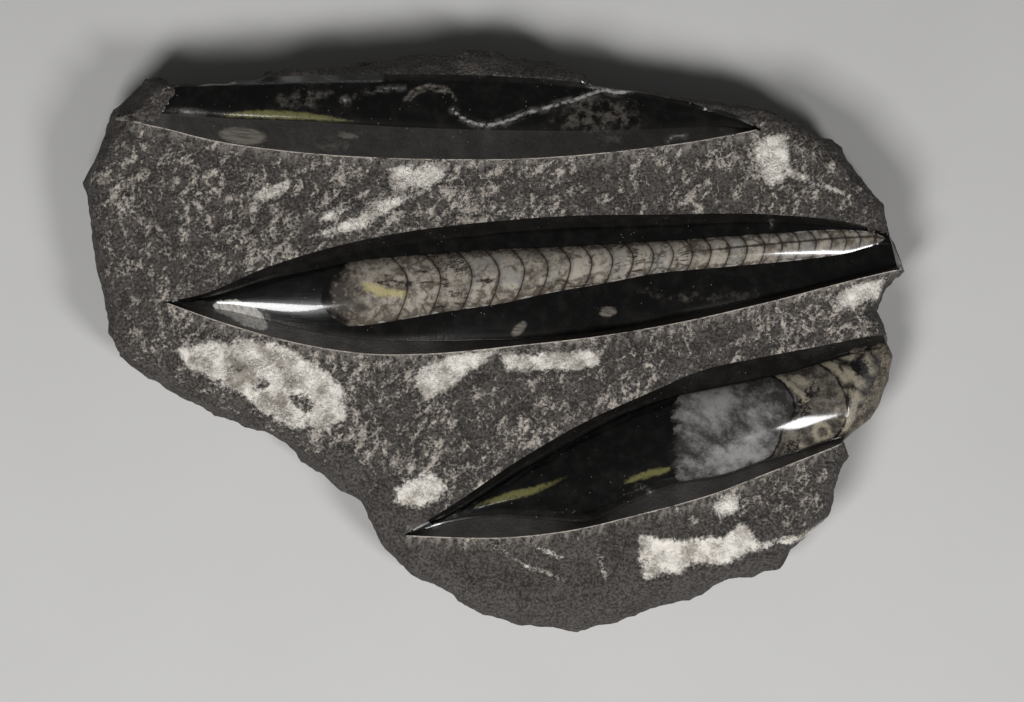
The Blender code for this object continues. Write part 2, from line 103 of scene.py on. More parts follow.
def by_parts(work: Callable[[np.ndarray], np.ndarray], points: np.ndarray, size: int = 4000) -> np.ndarray:
    """Works on a few thousand points at a time, to spare memory.

    Args:
        work: A function of points that gives one value for each.
        points: All the points.
        size: About how many points to take at a time.

    Returns:
        The values for all the points.
    """
    return np.concatenate([work(part) for part in np.array_split(points, len(points) // size + 1)])


def outward(points: np.ndarray) -> np.ndarray:
    """The outward direction at each point of a clockwise outline; of a counterclockwise one, the inward."""
    along = np.roll(points, -1, axis=0) - np.roll(points, 1, axis=0)
    across = np.column_stack([-along[:, 1], along[:, 0]])
    return across / np.linalg.norm(across, axis=1)[:, None]


def divided(outline: np.ndarray, step: float) -> np.ndarray:
    """A closed outline with its longer edges cut into pieces of about a step each."""
    points = []
    for start, end in zip(outline, np.roll(outline, -1, axis=0)):
        count = max(1, round(np.hypot(*(end - start)) / step))
        points += [start + (end - start) * i / count for i in range(count)]
    return np.array(points)


def distance_to(outline: np.ndarray, points: np.ndarray) -> np.ndarray:
    """The distance from each point to a closed outline."""
    start = outline[None]
    span = np.roll(outline, -1, axis=0)[None] - start

    def work(some: np.ndarray) -> np.ndarray:
        """The distances for some of the points."""
        offset = some[:, None] - start
        t = np.clip((offset * span).sum(2) / (span**2).sum(2), 0, 1)
        return np.linalg.norm(offset - t[..., None] * span, axis=2).min(1)

    return by_parts(work, points)


def inside(outline: np.ndarray, points: np.ndarray) -> np.ndarray:
    """Whether each point is within a closed outline."""
    start = outline[None]
    end = np.roll(outline, -1, axis=0)[None]

    def work(some: np.ndarray) -> np.ndarray:
        """Whether each of some points is within the outline."""
        x, y = some[:, None, 0], some[:, None, 1]
        spans = (start[..., 1] > y) != (end[..., 1] > y)
        rise = np.where(spans, end[..., 1] - start[..., 1], 1.0)
        crossing = start[..., 0] + (y - start[..., 1]) / rise * (end[..., 0] - start[..., 0])
        return (spans & (x < crossing)).sum(1) % 2 == 1

    return by_parts(work, points)


def nearest_on(path: np.ndarray, points: np.ndarray) -> tuple[np.ndarray, np.ndarray]:
    """The nearest place on an open path to each point.

    Args:
        path: The path's own points, in order.
        points: The points to measure from.

    Returns:
        How far each point is from the path, and how far along it the nearest place lies, from 0 to 1.
    """
    start, span = path[:-1], np.diff(path, axis=0)
    lengths = np.hypot(*span.T)
    before = np.cumsum(lengths) - lengths
    offset = points[:, None] - start
    t = np.clip((offset * span).sum(2) / lengths**2, 0, 1)
    distance = np.linalg.norm(offset - t[..., None] * span, axis=2)
    best = distance.argmin(1)
    rows = np.arange(len(points))
    return distance[rows, best], (before[best] + t[rows, best] * lengths[best]) / lengths.sum()


def noise_at(x: np.ndarray, y: np.ndarray, z: np.ndarray, size: float) -> np.ndarray:
    """Smooth noise from about -1 to 1 at each point, with lumps of the size given."""
    return np.array([noise.noise(Vector(point) / size) for point in zip(x, y, z)])


def scoops_at(x: np.ndarray, y: np.ndarray, z: np.ndarray, size: float) -> np.ndarray:
    """Shallow hollows of the size given, 0 in the middle of each and rising to sharp edges between them."""
    nearest = [noise.voronoi(Vector(point) / size)[0][0] for point in zip(x, y, z)]
    return np.clip(nearest, 0, 1) ** 2


def arch(y: np.ndarray, near: np.ndarray, far: np.ndarray, power: float) -> np.ndarray:
    """A rounded profile from 0 at `near` and `far` to 1 midway."""
    half = np.maximum((far - near) / 2, LEAST_WIDTH)
    u = np.clip((y - (near + far) / 2) / half, -1, 1)
    return (1 - u**2) ** power


@dataclass(frozen=True)
class Slope:
    """Stone that falls away on the left-hand side of a plan line, from `start` to `end`."""

    start: Place
    end: Place
    slope: float
    fade: float = 8.0

    def drop(self, x: np.ndarray, y: np.ndarray) -> np.ndarray:
        """How far the stone falls away at each point."""
        (x0, y0), (x1, y1) = self.start, self.end
        length = math.hypot(x1 - x0, y1 - y0)
        along = ((x - x0) * (x1 - x0) + (y - y0) * (y1 - y0)) / length
        across = ((y - y0) * (x1 - x0) - (x - x0) * (y1 - y0)) / length
        fade = np.clip(np.minimum(along, length - along) / self.fade + HALF_FADE, 0, 1)
        return self.slope * np.clip(across, 0, None) * fade


@dataclass(frozen=True, eq=False)
class Trough:
    """A ground trough and its ridge, between a far rim and a near rim. Each line gives y at x.

    From the far side it has a rim, a wall down to a groove, the ridge with its rib, a groove, a wall and a
    rim. `depth`, `flank` and `rib` give at x how far the grooves lie below the slab's top, and how far the
    ridge and then its rib rise again. `dust` gives how pale and matt the walls are.
    """

    first: float
    last: float
    lines: tuple[Line, ...]
    depth: Line
    flank: Line
    rib: Line
    power: float
    dust: Line

    def rows(self, x: np.ndarray | float) -> np.ndarray:
        """The six lines at x, from the far rim to the near rim, never crossing."""
        return np.minimum.accumulate(np.array([each(x) for each in self.lines]), axis=0)

    def holds(self, x: np.ndarray, y: np.ndarray) -> np.ndarray:
        """Whether each point lies between the rims."""
        rows = self.rows(x)
        return (x > self.first) & (x < self.last) & (y < rows[0]) & (y > rows[-1])


UPPER = Trough(
    first=-120.5,
    last=84.1,
    lines=(
        Line((-120.5, 70.2), (-108.5, 74.6), (-101.5, 81), (-76.9, 82.9), (-43.3, 83.8), (2.5, 83.2),
             (25.9, 81.6), (46.5, 78.8), (65.8, 74), (80.7, 69.1), (84.1, 66.7)),
        Line((-120.5, 70.2), (-108.5, 73.6), (-101.5, 79.6), (-76.9, 81.4), (-43.3, 82.2), (2.5, 81.6),
             (25.9, 80), (46.5, 77.4), (65.8, 72.9), (80.7, 68.4), (84.1, 66.7)),
        Line((-120.5, 70.2), (-108.5, 73.4), (-101.5, 79.0), (-76.9, 80.8), (-43.3, 81.6), (2.5, 81.0),
             (25.9, 79.4), (46.5, 76.9), (65.8, 72.6), (80.7, 68.2), (84.1, 66.7)),
        Line((-120.5, 70.2), (-103.7, 72), (-84.8, 70.6), (-61, 69.7), (-29.4, 67.8), (-7.3, 67),
             (40.2, 66.8), (62.3, 67.6), (73.4, 67.8), (84.1, 66.6)),
        Line((-120.5, 70.2), (-103.7, 71.6), (-84.8, 70.2), (-61, 69.3), (-29.4, 67.4), (-7.3, 66.6),
             (40.2, 66.4), (62.3, 67.3), (73.4, 67.6), (84.1, 66.6)),
        Line((-120.5, 70.2), (-105.3, 67.2), (-90.1, 63.4), (-56, 58.8), (-17.7, 57.1), (17.4, 57.6),
             (41.8, 59.8), (61, 62.3), (77.5, 65.2), (84.1, 66.6)),
    ),
    depth=Line((-120.5, 0.8), (-105, 1.8), (-70, 2.4), (0, 2.6), (50, 2.4), (75, 2.4), (84.1, 1.4)),
    flank=Line((-120.5, 0), (84.1, 0)),
    rib=Line((-120.5, 0.1), (-105, 0.4), (-70, 0.8), (-45, 0.7), (0, 0.45), (50, 0.4), (75, 0.2),
             (84.1, 0.1)),
    power=1.0,
    dust=Line((-120.5, 0.6), (-90, 0.42), (-40, 0.35), (30, 0.32), (60, 0.26), (84.1, 0.3)),
)

MIDDLE = Trough(
    first=-103.7,
    last=132.0,
    lines=(
        Line((-103.7, 12), (-92.2, 14.3), (-71.1, 23), (-38.7, 32.1), (-6.2, 36.8), (19.2, 38.9),
             (53.3, 39.6), (87.4, 39.6), (117.2, 36), (132, 31.2)),
        Line((-103.7, 12), (-92.2, 13.4), (-71.1, 20), (-38.7, 28.6), (-6.2, 33.2), (19.2, 35.4),
             (53.3, 36.4), (87.4, 37.4), (112.9, 35.9), (121.5, 34.8), (132, 30.8)),
        Line((-103.7, 12), (-92.2, 13.1), (-71.1, 19.2), (-55, 22.6), (-42.7, 25.2), (-30.6, 26.4),
             (-10.3, 28.1), (27.8, 30), (61.8, 32.1), (95.9, 34.4), (112.9, 34.9), (121.5, 34),
             (132, 30.4)),
        Line((-103.7, 12), (-83.2, 9.5), (-71.2, 6.9), (-55, 4.6), (-41.1, 4.6), (-30.6, 6.2), (-14.3, 9),
             (1.9, 11.4), (19.2, 15.1), (36.3, 18.1), (49, 20.6), (74.6, 23.2), (100.1, 25.7),
             (112.9, 27.7), (121.5, 30), (132, 29.8)),
        Line((-103.7, 12), (-83.2, 9.1), (-71.2, 6.2), (-54.7, 2.2), (-38.6, 0), (-26.6, -0.3), (-2.2, 0),
             (10, 0.4), (32, 2.6), (49, 5.2), (70.3, 10), (87.4, 13.4), (117.2, 21), (132, 24.6)),
        Line((-103.7, 12), (-87.3, 6.2), (-71.1, 1.3), (-54.9, -2.3), (-38.7, -4.4), (-22.5, -4.4),
             (10, -1.5), (32, 1), (57.6, 5.3), (87.4, 12.1), (117.2, 19.8), (132, 23.2)),
    ),
    depth=Line((-103.7, 1.5), (-95, 4.2), (-80, 4.5), (-55, 4.1), (-35, 5.1), (0, 6.2), (40, 6), (78, 5.4),
               (88, 5.6), (100, 6.1), (112, 6.8), (120, 7.2), (132, 8.1)),
    flank=Line((-103.7, 0), (-80, 0.1), (-55, 0.3), (-35, 0.9), (0, 2.2), (40, 2.3), (78, 1.5), (88, 1.1),
               (100, 0.7), (112, 0.35), (132, 0.1)),
    rib=Line((-103.7, 0.2), (-95, 1), (-80, 1.8), (-55, 2.8), (-35, 3.8), (0, 4.2), (40, 3.2), (78, 2.1),
             (88, 1.9), (100, 1.2), (112, 0.5), (120, 0.3), (132, 0.2)),
    power=0.85,
    dust=Line((-103.7, 0.5), (-80, 0.9), (-55, 0.95), (-30, 0.95), (20, 0.7), (132, 0.55)),
)

LOWER = Trough(
    first=-28.2,
    last=132.0,
    lines=(
        Line((-28.2, -61.6), (-13.9, -52.8), (8.1, -38), (30, -25.4), (51.8, -15.6), (62.8, -10.7),
             (84.7, -5.5), (106.6, -1.3), (117.5, 0.9), (132, 2.2)),
        Line((-28.2, -61.6), (-13.9, -54.8), (7.9, -41.1), (19, -34.8), (40.8, -23.1), (56.2, -17.6),
             (73.7, -13.9), (95.6, -9), (117.5, -2.7), (132, 0.8)),
        Line((-28.2, -61.6), (-13.9, -55.2), (7.9, -41.8), (19, -35.6), (40.8, -23.8), (56.2, -18.2),
             (73.7, -14.5), (95.6, -9.6), (117.5, -3.3), (132, 0.2)),
        Line((-28.2, -61.6), (-13.9, -57.2), (0, -55.4), (18, -56.2), (30, -56.6), (45.2, -50),
             (57.3, -45.6), (73.7, -42.4), (84.7, -38.5), (106.6, -31.9), (132, -22)),
        Line((-28.2, -61.6), (-13.9, -57.8), (0, -56), (18, -57), (30, -57.4), (45.2, -50.8),
             (57.3, -46.2), (73.7, -43), (84.7, -39.1), (106.6, -32.5), (132, -22.6)),
        Line((-28.2, -61.6), (-13.9, -62.3), (2.5, -62.4), (24.5, -60.1), (46.4, -55), (68.3, -49),
             (90.1, -40.7), (112.1, -32), (132, -24)),
    ),
    depth=Line((-28.2, 1.2), (-15, 3.6), (10, 4.6), (50, 5.2), (80, 5.2), (93, 5.4), (100, 5.85),
               (107, 6.5), (118, 7.6), (132, 9.2)),
    flank=Line((-28.2, 0), (10, 0.4), (132, 0.5)),
    rib=Line((-28.2, 0.2), (-15, 1.4), (10, 3.6), (50, 5.3), (80, 5.6), (93, 5.4), (100, 4.95), (107, 4.3),
             (118, 2.9), (132, 1.4)),
    power=0.75,
    dust=Line((-28.2, 0.45), (0, 0.55), (60, 0.65), (100, 0.75), (132, 0.75)),
)


@dataclass
class Ground:
    """The slab's form in plan: its outline, its rough top with the troughs, and its broken sides.

    `rings` go from the top border to the base, each with its part of the height, its inset from the outline
    and the depth of its scoops. `swell`, `scoop`, `lump` and `chip` are heights and lengths on the top.
    """

    troughs: tuple[Trough, ...] = (UPPER, MIDDLE, LOWER)
    top: float = 29.5
    corners: tuple[Place, ...] = (
        (-110.7, 83.2), (-106.6, 83.8), (-101.8, 81.4), (-84.1, 82.0), (-75.6, 82.9), (-66.7, 86.1),
        (-52.5, 87.0), (-34.2, 89.0), (-13.6, 91.4), (-9.5, 92.5), (-0.3, 92.0), (4.7, 89.3),
        (23.4, 86.7), (31.9, 81.3), (45.9, 79.7), (66.1, 76.1), (88.6, 72.7), (95.8, 69.7),
        (100.0, 66.7), (107.5, 63.1), (113.9, 55.5), (118.0, 50.3), (124.0, 43.3), (126.8, 34.2),
        (130.0, 22.1), (124.3, 16.8), (122.1, 9.2), (124.9, 1.9), (127.8, -5.1), (125.9, -13.0),
        (121.8, -19.6), (119.6, -24.7), (112.1, -32.3), (112.6, -37.0), (107.9, -49.7), (106.3, -55.7),
        (94.6, -66.7), (90.8, -72.1), (73.4, -77.5), (61.5, -82.7), (45.2, -88.1), (26.9, -92.7),
        (15.2, -91.7), (-3.5, -87.5), (-11.7, -81.6), (-25.9, -74.0), (-35.1, -64.2), (-42.4, -51.6),
        (-49.2, -47.6), (-54.1, -41.6), (-63.6, -34.3), (-81.9, -24.7), (-92.2, -21.0), (-110.9, -11.4),
        (-118.8, -4.6), (-123.0, 2.5), (-123.4, 8.5), (-127.3, 29.1), (-129.9, 50.0), (-122.9, 66.7),
        (-120.0, 72.7), (-112.4, 80.3),
    )
    edge_step: float = 5.0
    edge_jitter: float = 0.5
    rings: tuple[tuple[float, float, float], ...] = (
        (1.0, 1.4, 0.0),
        (0.86, 0.6, 1.6),
        (0.68, 0.2, 2.8),
        (0.5, 0.4, 3.4),
        (0.32, 1.0, 3.2),
        (0.15, 2.0, 2.4),
        (0.0, 3.4, 0.6),
    )
    side_scoop: float = 12.0
    ledge: tuple[float, float, float] = (0.9, 22.0, 5.0)
    swell: tuple[float, float] = (1.0, 55.0)
    scoop: tuple[float, float] = (2.0, 12.0)
    lump: tuple[float, float] = (0.9, 10.0)
    chip: tuple[float, float] = (0.6, 5.0)
    mean_scoop: float = 0.25
    shoulder_drop: float = 2.8
    shoulder_width: float = 6.5
    flanks: tuple[Slope, ...] = (
        Slope((-75.0, 84.6), (35.0, 83.0), 0.75),
        Slope((32.0, 80.2), (96.0, 70.0), 0.9),
        Slope((95.0, -68.0), (42.0, -79.0), 0.9),
        Slope((42.0, -82.0), (-12.0, -84.0), 0.6),
        Slope((-28.0, -68.0), (-60.0, -31.0), 0.45),
        Slope((-62.0, -30.0), (-122.0, 0.0), 0.45),
        Slope((-119.0, 0.0), (-124.0, 60.0), 0.6),
        Slope((-122.0, 60.0), (-106.0, 80.0), 0.7),
        Slope((98.0, 67.0), (124.0, 40.0), 0.6),
        Slope((112.0, -30.0), (95.0, -68.0), 0.5),
    )
    broken_end: Slope = Slope((121.0, 4.0), (110.5, -35.0), 0.32)

    def __post_init__(self) -> None:
        """Works out the outline in short steps, and the top's border inside it."""
        points = divided(np.array(self.corners), self.edge_step)
        x, y = points.T
        jitter = self.edge_jitter * noise_at(x, y, 0 * x + 7.0, 3.0)
        self.outline = points + outward(points) * jitter[:, None]
        self.normals = outward(self.outline)
        self.border = self.outline - self.normals * self.rings[0][1]

    def level(self, x: np.ndarray, y: np.ndarray) -> np.ndarray:
        """The slab's top without its lumps."""
        size, length = self.swell
        return self.top + size * noise_at(x, y, 0 * x, length)

    def rough(self, x: np.ndarray, y: np.ndarray) -> np.ndarray:
        """The height of the rough stone, lumpy and falling away at the border and down the split flanks."""
        z = self.level(x, y)
        for (size, length), layer in ((self.lump, 1.0), (self.chip, 2.0)):
            z += size * noise_at(x, y, 0 * x + 9.0 * layer, length)
        size, length = self.scoop
        z += size * (scoops_at(x, y, 0 * x, length) - self.mean_scoop)
        near = np.clip(1 - distance_to(self.border, np.column_stack([x, y])) / self.shoulder_width, 0, 1)
        z -= self.shoulder_drop * near**2 * (1 + noise_at(x, y, 0 * x + 4.0, 20.0))
        for flank in self.flanks:
            z -= flank.drop(x, y)
        return z

    def trough_height(self, trough: Trough, x: np.ndarray, y: np.ndarray) -> np.ndarray:
        """The height inside a trough: walls, grooves and the ridge with its rib."""
        far_rim, far_groove, rib_far, rib_near, near_groove, near_rim = trough.rows(x)
        floor = self.level(x, y) - trough.depth(x)
        ridge = trough.flank(x) * arch(y, near_groove, far_groove, trough.power)
        rib = trough.rib(x) * arch(y, rib_near, rib_far, trough.power)
        up_far = np.clip((y - far_groove) / np.maximum(far_rim - far_groove, LEAST_WIDTH), 0, 1)
        up_near = np.clip((near_groove - y) / np.maximum(near_groove - near_rim, LEAST_WIDTH), 0, 1)
        far_wall = up_far * (self.rough(x, far_rim) - floor)
        near_wall = up_near * (self.rough(x, near_rim) - floor)
        return floor + ridge + rib + far_wall + near_wall

    def surface(self, points: np.ndarray) -> np.ndarray:
        """The height of the slab's top at each plan point."""
        x, y = points.T
        z = self.rough(x, y)
        for trough in self.troughs:
            within = trough.holds(x, y)
            if within.any():
                z[within] = self.trough_height(trough, x[within], y[within])
        return z - self.broken_end.drop(x, y)

    def is_ground(self, points: np.ndarray) -> np.ndarray:
        """Whether each point lies in one of the ground troughs."""
        return np.any([trough.holds(*points.T) for trough in self.troughs], axis=0)

    def fine_outline(self, step: float) -> tuple[np.ndarray, np.ndarray]:
        """The outline in finer steps.

        Args:
            step: About how far apart its points are.

        Returns:
            The points, and the outward direction at each.
        """
        points, normals = [], []
        count = round(self.edge_step / step)
        for i in range(count):
            t = i / count
            points.append(self.outline * (1 - t) + np.roll(self.outline, -1, axis=0) * t)
            normals.append(self.normals * (1 - t) + np.roll(self.normals, -1, axis=0) * t)
        points = np.stack(points, axis=1).reshape(-1, 2)
        normals = np.stack(normals, axis=1).reshape(-1, 2)
        return points, normals / np.linalg.norm(normals, axis=1)[:, None]

    def side_ring(self, outline: np.ndarray, normals: np.ndarray, part: float,
                  high: np.ndarray) -> np.ndarray:
        """One ring of the broken sides.

        Args:
            outline: The outline's points.
            normals: The outward direction at each.
            part: How far up the side the ring lies, from 0 to 1.
            high: The height of the top border at each point.

        Returns:
            The ring's points.
        """
        parts, insets, scoops = np.array(self.rings)[::-1].T
        z = high * part
        inset = np.interp(part, parts, insets)
        scoop = np.interp(part, parts, scoops)
        hollows = scoop * (self.mean_scoop - scoops_at(*outline.T, z, self.side_scoop))
        size, length, height = self.ledge
        ledges = size * part * noise_at(*outline.T, z * length / height, length) if part < 1 else 0
        place = outline - normals * np.reshape(inset + hollows + ledges, (-1, 1))
        return np.column_stack([place, z])


# --------------------------------------------------------------------------------------------------------
# Marks in the stone
# --------------------------------------------------------------------------------------------------------


class Taper(Enum):
    """How a stroke's width runs along it."""

    EVEN = "even"
    SPINDLE = "spindle"
    WEDGE = "wedge"


class Mark:
    """A mark in the stone, known by how far each plan point is outside its edge."""

    def edge(self, points: np.ndarray) -> np.ndarray:
        """How far each point is outside the mark's edge, less than 0 within it."""
        raise NotImplementedError


@dataclass(frozen=True)
class Stroke(Mark):
    """A mark along a path."""

    width: float
    path: tuple[Place, ...]
    taper: Taper = Taper.EVEN

    def edge(self, points: np.ndarray) -> np.ndarray:
        """How far each point is outside the stroke."""
        away, along = nearest_on(np.array(self.path), points)
        shape = {
            Taper.EVEN: 1.0 + 0 * along,
            Taper.SPINDLE: np.sin(math.pi * np.clip(along, 0.02, 0.98)),
            Taper.WEDGE: 1.0 - along,
        }
        return away - self.width / 2 * shape[self.taper]


@dataclass(frozen=True)
class Patch(Mark):
    """A mark that fills a closed outline."""

    outline: tuple[Place, ...]

    def edge(self, points: np.ndarray) -> np.ndarray:
        """How far each point is outside the patch."""
        outline = np.array(self.outline)
        away = distance_to(outline, points)
        return np.where(inside(outline, points), -away, away)


@dataclass(frozen=True)
class Oval(Mark):
    """An oval mark: its middle, its half length and half width, and its turn in degrees."""

    middle: Place
    sizes: tuple[float, float]
    turn: float = 0.0

    def edge(self, points: np.ndarray) -> np.ndarray:
        """How far each point is outside the oval."""
        turn = math.radians(self.turn)
        x, y = (points - np.array(self.middle)).T
        along = (x * math.cos(turn) + y * math.sin(turn)) / self.sizes[0]
        across = (y * math.cos(turn) - x * math.sin(turn)) / self.sizes[1]
        return (np.hypot(along, across) - 1) * min(self.sizes)


@dataclass(frozen=True)
class Ring(Mark):
    """A ring: its middle, its radius and how wide its line is."""

    middle: Place
    radius: float
    width: float

    def edge(self, points: np.ndarray) -> np.ndarray:
        """How far each point is outside the ring's line."""
        away = np.hypot(*(points - np.array(self.middle)).T)
        return np.abs(away - self.radius) - self.width / 2


def nearest_edge(marks: Sequence[Mark], points: np.ndarray) -> np.ndarray:
    """How far each point is outside the nearest of the marks, less than 0 within one."""
    return np.clip(np.min([mark.edge(points) for mark in marks], axis=0), -FAR_AWAY, FAR_AWAY)


CALCITE = (
    Patch(((-99.6, -3.2), (-92.7, 0.0), (-80.0, 0.6), (-65.8, -1.6), (-57.9, -7.0), (-51.6, -10.1),
           (-45.2, -17.4), (-46.8, -25.3), (-54.7, -29.1), (-64.2, -27.8), (-72.1, -23.7), (-78.4, -18.3),
           (-87.9, -14.2), (-95.8, -9.5))),
    Patch(((3.8, -1.6), (-19.9, -6.3), (-25.6, -11.1), (-21.5, -19.6), (-13.6, -15.2), (-3.5, -7.9))),
    Patch(((2.2, -3.8), (16.4, -3.8), (33.8, -3.2), (33.2, -8.2), (18.0, -10.1), (3.8, -9.5))),
    Patch(((-34.2, 53.8), (-26.3, 56.0), (-13.6, 56.0), (-15.2, 51.2), (-24.7, 46.8), (-32.6, 45.9))),
    Patch(((81.9, 60.1), (86.0, 64.8), (92.4, 65.8), (93.9, 58.5), (92.4, 50.6), (87.6, 47.4),
           (83.8, 53.8))),
    Patch(((46.2, -61.7), (59.1, -62.3), (73.4, -61.7), (77.8, -57.6), (80.7, -59.8), (84.8, -64.5),
           (97.7, -61.0), (105.6, -56.9), (103.4, -62.6), (94.9, -64.8), (82.9, -67.7), (73.4, -70.5),
           (59.1, -73.4), (48.1, -75.6), (45.5, -69.6))),
    Patch(((103.4, 12.0), (111.3, 15.8), (124.3, 20.2), (122.4, 12.7), (112.9, 9.5))),
    Oval((74.3, -52.2), (5.0, 3.4), 20.0),
    Oval((-23.1, -47.4), (9.0, 5.5), 15.0),
    Stroke(5.0, ((-57.9, 32.3), (-42.1, 37.3), (-29.4, 44.3), (-19.9, 47.4)), Taper.SPINDLE),
    Stroke(4.4, ((-78.4, 42.7), (-69.0, 47.4), (-61.0, 52.2)), Taper.SPINDLE),
    Stroke(3.0, ((-56.3, 37.3), (-45.2, 41.8)), Taper.SPINDLE),
    Stroke(3.0, ((92.4, 53.8), (103.4, 49.0), (116.1, 44.3)), Taper.WEDGE),
    Stroke(0.9, ((-3.5, -61.7), (8.2, -70.2), (23.7, -76.2)), Taper.SPINDLE),
    Stroke(0.8, ((8.2, -62.9), (25.6, -70.5)), Taper.SPINDLE),
    Stroke(0.8, ((32.3, -63.6), (35.4, -75.3)), Taper.SPINDLE),
)

INCLUSIONS = (
    Oval((-82.6, -10.1), (4.5, 3.0), 20.0),
    Oval((-73.1, -13.9), (3.6, 2.6)),
    Oval((-61.0, -19.0), (4.4, 2.6), -30.0),
    Oval((90.0, -66.5), (3.0, 2.2)),
)

VEINS = (
    Stroke(1.0, ((-12.7, 72.7), (-10.4, 70.5), (-5.7, 68.3), (-1.9, 67.7), (3.8, 69.0), (10.1, 71.5),
                 (18.0, 73.7), (25.9, 75.9), (32.3, 78.4), (35.4, 79.1), (38.6, 78.1), (41.8, 78.4),
                 (45.9, 79.7))),
    Stroke(0.6, ((-40.5, 78.4), (-33.0, 79.4), (-27.8, 79.7)), Taper.SPINDLE),
    Stroke(0.8, ((-101.0, 72.6), (-96.0, 72.0), (-91.0, 71.6)), Taper.SPINDLE),
    Stroke(0.8, ((55.4, 62.6), (56.6, 64.2), (60.7, 64.5))),
    Stroke(0.4, ((87.3, 38.3), (88.6, 36.1))),
    Stroke(0.4, ((-73.1, 10.1), (-70.5, 5.7))),
    Oval((-47.0, 75.7), (0.6, 0.5)),
    Oval((46.5, -46.5), (0.6, 0.4)),
    Oval((49.7, -48.1), (0.5, 0.4)),
)

FAN = (
    Patch(((-88.9, 11.2), (-86.0, 12.4), (-82.0, 12.8), (-77.0, 11.4), (-73.4, 8.6), (-71.0, 4.2),
           (-72.0, 3.0), (-77.5, 4.0), (-81.5, 6.0), (-84.0, 7.6), (-87.5, 8.8))),
)

DULL = (Stroke(3.4, ((-80.0, 82.2), (-60.0, 82.9), (-36.0, 83.2))),)

SATIN = (Oval((-69.0, 12.0), (27.0, 11.0)), Oval((-14.0, -57.0), (14.0, 7.0), 30.0))

ROUGH_ENDS = (
    Patch(((-122.0, 66.0), (-122.0, 86.0), (-103.5, 86.0), (-100.5, 78.5), (-103.5, 73.5), (-106.5, 69.5))),
)

PALE_OVALS = (
    Oval((-79.1, 64.5), (7.4, 2.6), -6.0),
    Oval((8.2, 3.5), (2.9, 1.4), 45.0),
    Oval((36.4, 8.9), (2.6, 1.6), 10.0),
    Oval((-46.0, 64.6), (3.0, 0.9), -10.0),
    Stroke(0.7, ((-28.2, 75.6), (-25.8, 78.9), (-19.9, 80.8), (-14.2, 79.5), (-11.7, 75.9))),
    Stroke(0.6, ((-26.6, 75.4), (-24.4, 77.8), (-19.9, 79.3), (-15.0, 78.1))),
)

CLOUDS = (
    Stroke(0.6, ((46.5, 14.8), (60.0, 13.2), (84.0, 14.6)), Taper.SPINDLE),
    Oval((-50.9, 61.4), (5.0, 1.8), -4.0),
    Oval((-46.2, 75.6), (1.6, 1.1)),
    Oval((-41.4, 65.8), (1.6, 1.0)),
    Oval((-59.5, 76.5), (7.0, 3.0), 8.0),
    Oval((37.6, 64.5), (3.2, 1.6), 20.0),
    Oval((33.0, 71.0), (12.0, 5.5), 0.0),
)

# Painted reflections of something greenish, in slivers along the upper and lower ridges.
OLIVE_REFLECTIONS = (
    Patch(((-86.5, 70.8), (-81.6, 71.9), (-73.1, 72.6), (-61.0, 72.1), (-51.6, 70.5), (-43.0, 68.9),
           (-58.8, 69.6), (-73.1, 70.2))),
    Stroke(2.4, ((-6.3, -52.8), (3.8, -49.7), (13.3, -47.4), (23.4, -43.0)), Taper.SPINDLE),
    Stroke(2.2, ((39.9, -45.5), (49.7, -42.1), (58.5, -40.2)), Taper.SPINDLE),
)

# Where the hammer hardly struck.
QUIET_GROUND = (
    Oval((30.0, -78.0), (62.0, 16.0), 8.0),
    Oval((-35.0, -62.0), (26.0, 16.0), -45.0),
    Stroke(10.0, ((-75.0, 87.0), (0.0, 92.0), (30.0, 86.0), (95.0, 73.0))),
)

BROWN_ENDS = (
    Patch(((113.5, -3.6), (124.0, -1.6), (132.0, -4.0), (126.0, -24.0), (112.0, -34.0), (113.0, -20.0),
           (116.5, -9.0))),
)


# --------------------------------------------------------------------------------------------------------
# Shader recipes
# --------------------------------------------------------------------------------------------------------


class Value:
    """A number socket that can be used in sums; each sum adds a Math node."""

    def __init__(self, recipe: "Recipe", socket: bpy.types.NodeSocket) -> None:
        """Wraps an output socket of one of the recipe's nodes."""
        self.recipe = recipe
        self.socket = socket

    def __add__(self, other: "Value | float") -> "Value":
        """Adds a value or a number."""
        return self.recipe.maths("ADD", self, other)

    def __sub__(self, other: "Value | float") -> "Value":
        """Takes a value or a number away."""
        return self.recipe.maths("SUBTRACT", self, other)

    def __rsub__(self, other: float) -> "Value":
        """Takes this value away from a number."""
        return self.recipe.maths("SUBTRACT", other, self)

    def __mul__(self, other: "Value | float") -> "Value":
        """Multiplies by a value or a number."""
        return self.recipe.maths("MULTIPLY", self, other)

    def __abs__(self) -> "Value":
        """The size without its sign."""
        return self.recipe.maths("ABSOLUTE", self)

    __radd__ = __add__
    __rmul__ = __mul__

    def rising(self, low: float, high: float) -> "Value":
        """A smooth mask from 0 at `low` to 1 at `high`, or the other way where `low` is the larger."""
        inputs = {"Value": self, "From Min": low, "From Max": high}
        node = self.recipe.add("MapRange", inputs, interpolation_type="SMOOTHSTEP")
        return Value(self.recipe, node.outputs[0])

    def least(self, other: "Value | float") -> "Value":
        """The smaller of this value and another."""
        return self.recipe.maths("MINIMUM", self, other)

    def most(self, other: "Value | float") -> "Value":
        """The larger of this value and another."""
        return self.recipe.maths("MAXIMUM", self, other)


Input = Value | bpy.types.NodeSocket | float | Sequence[float]


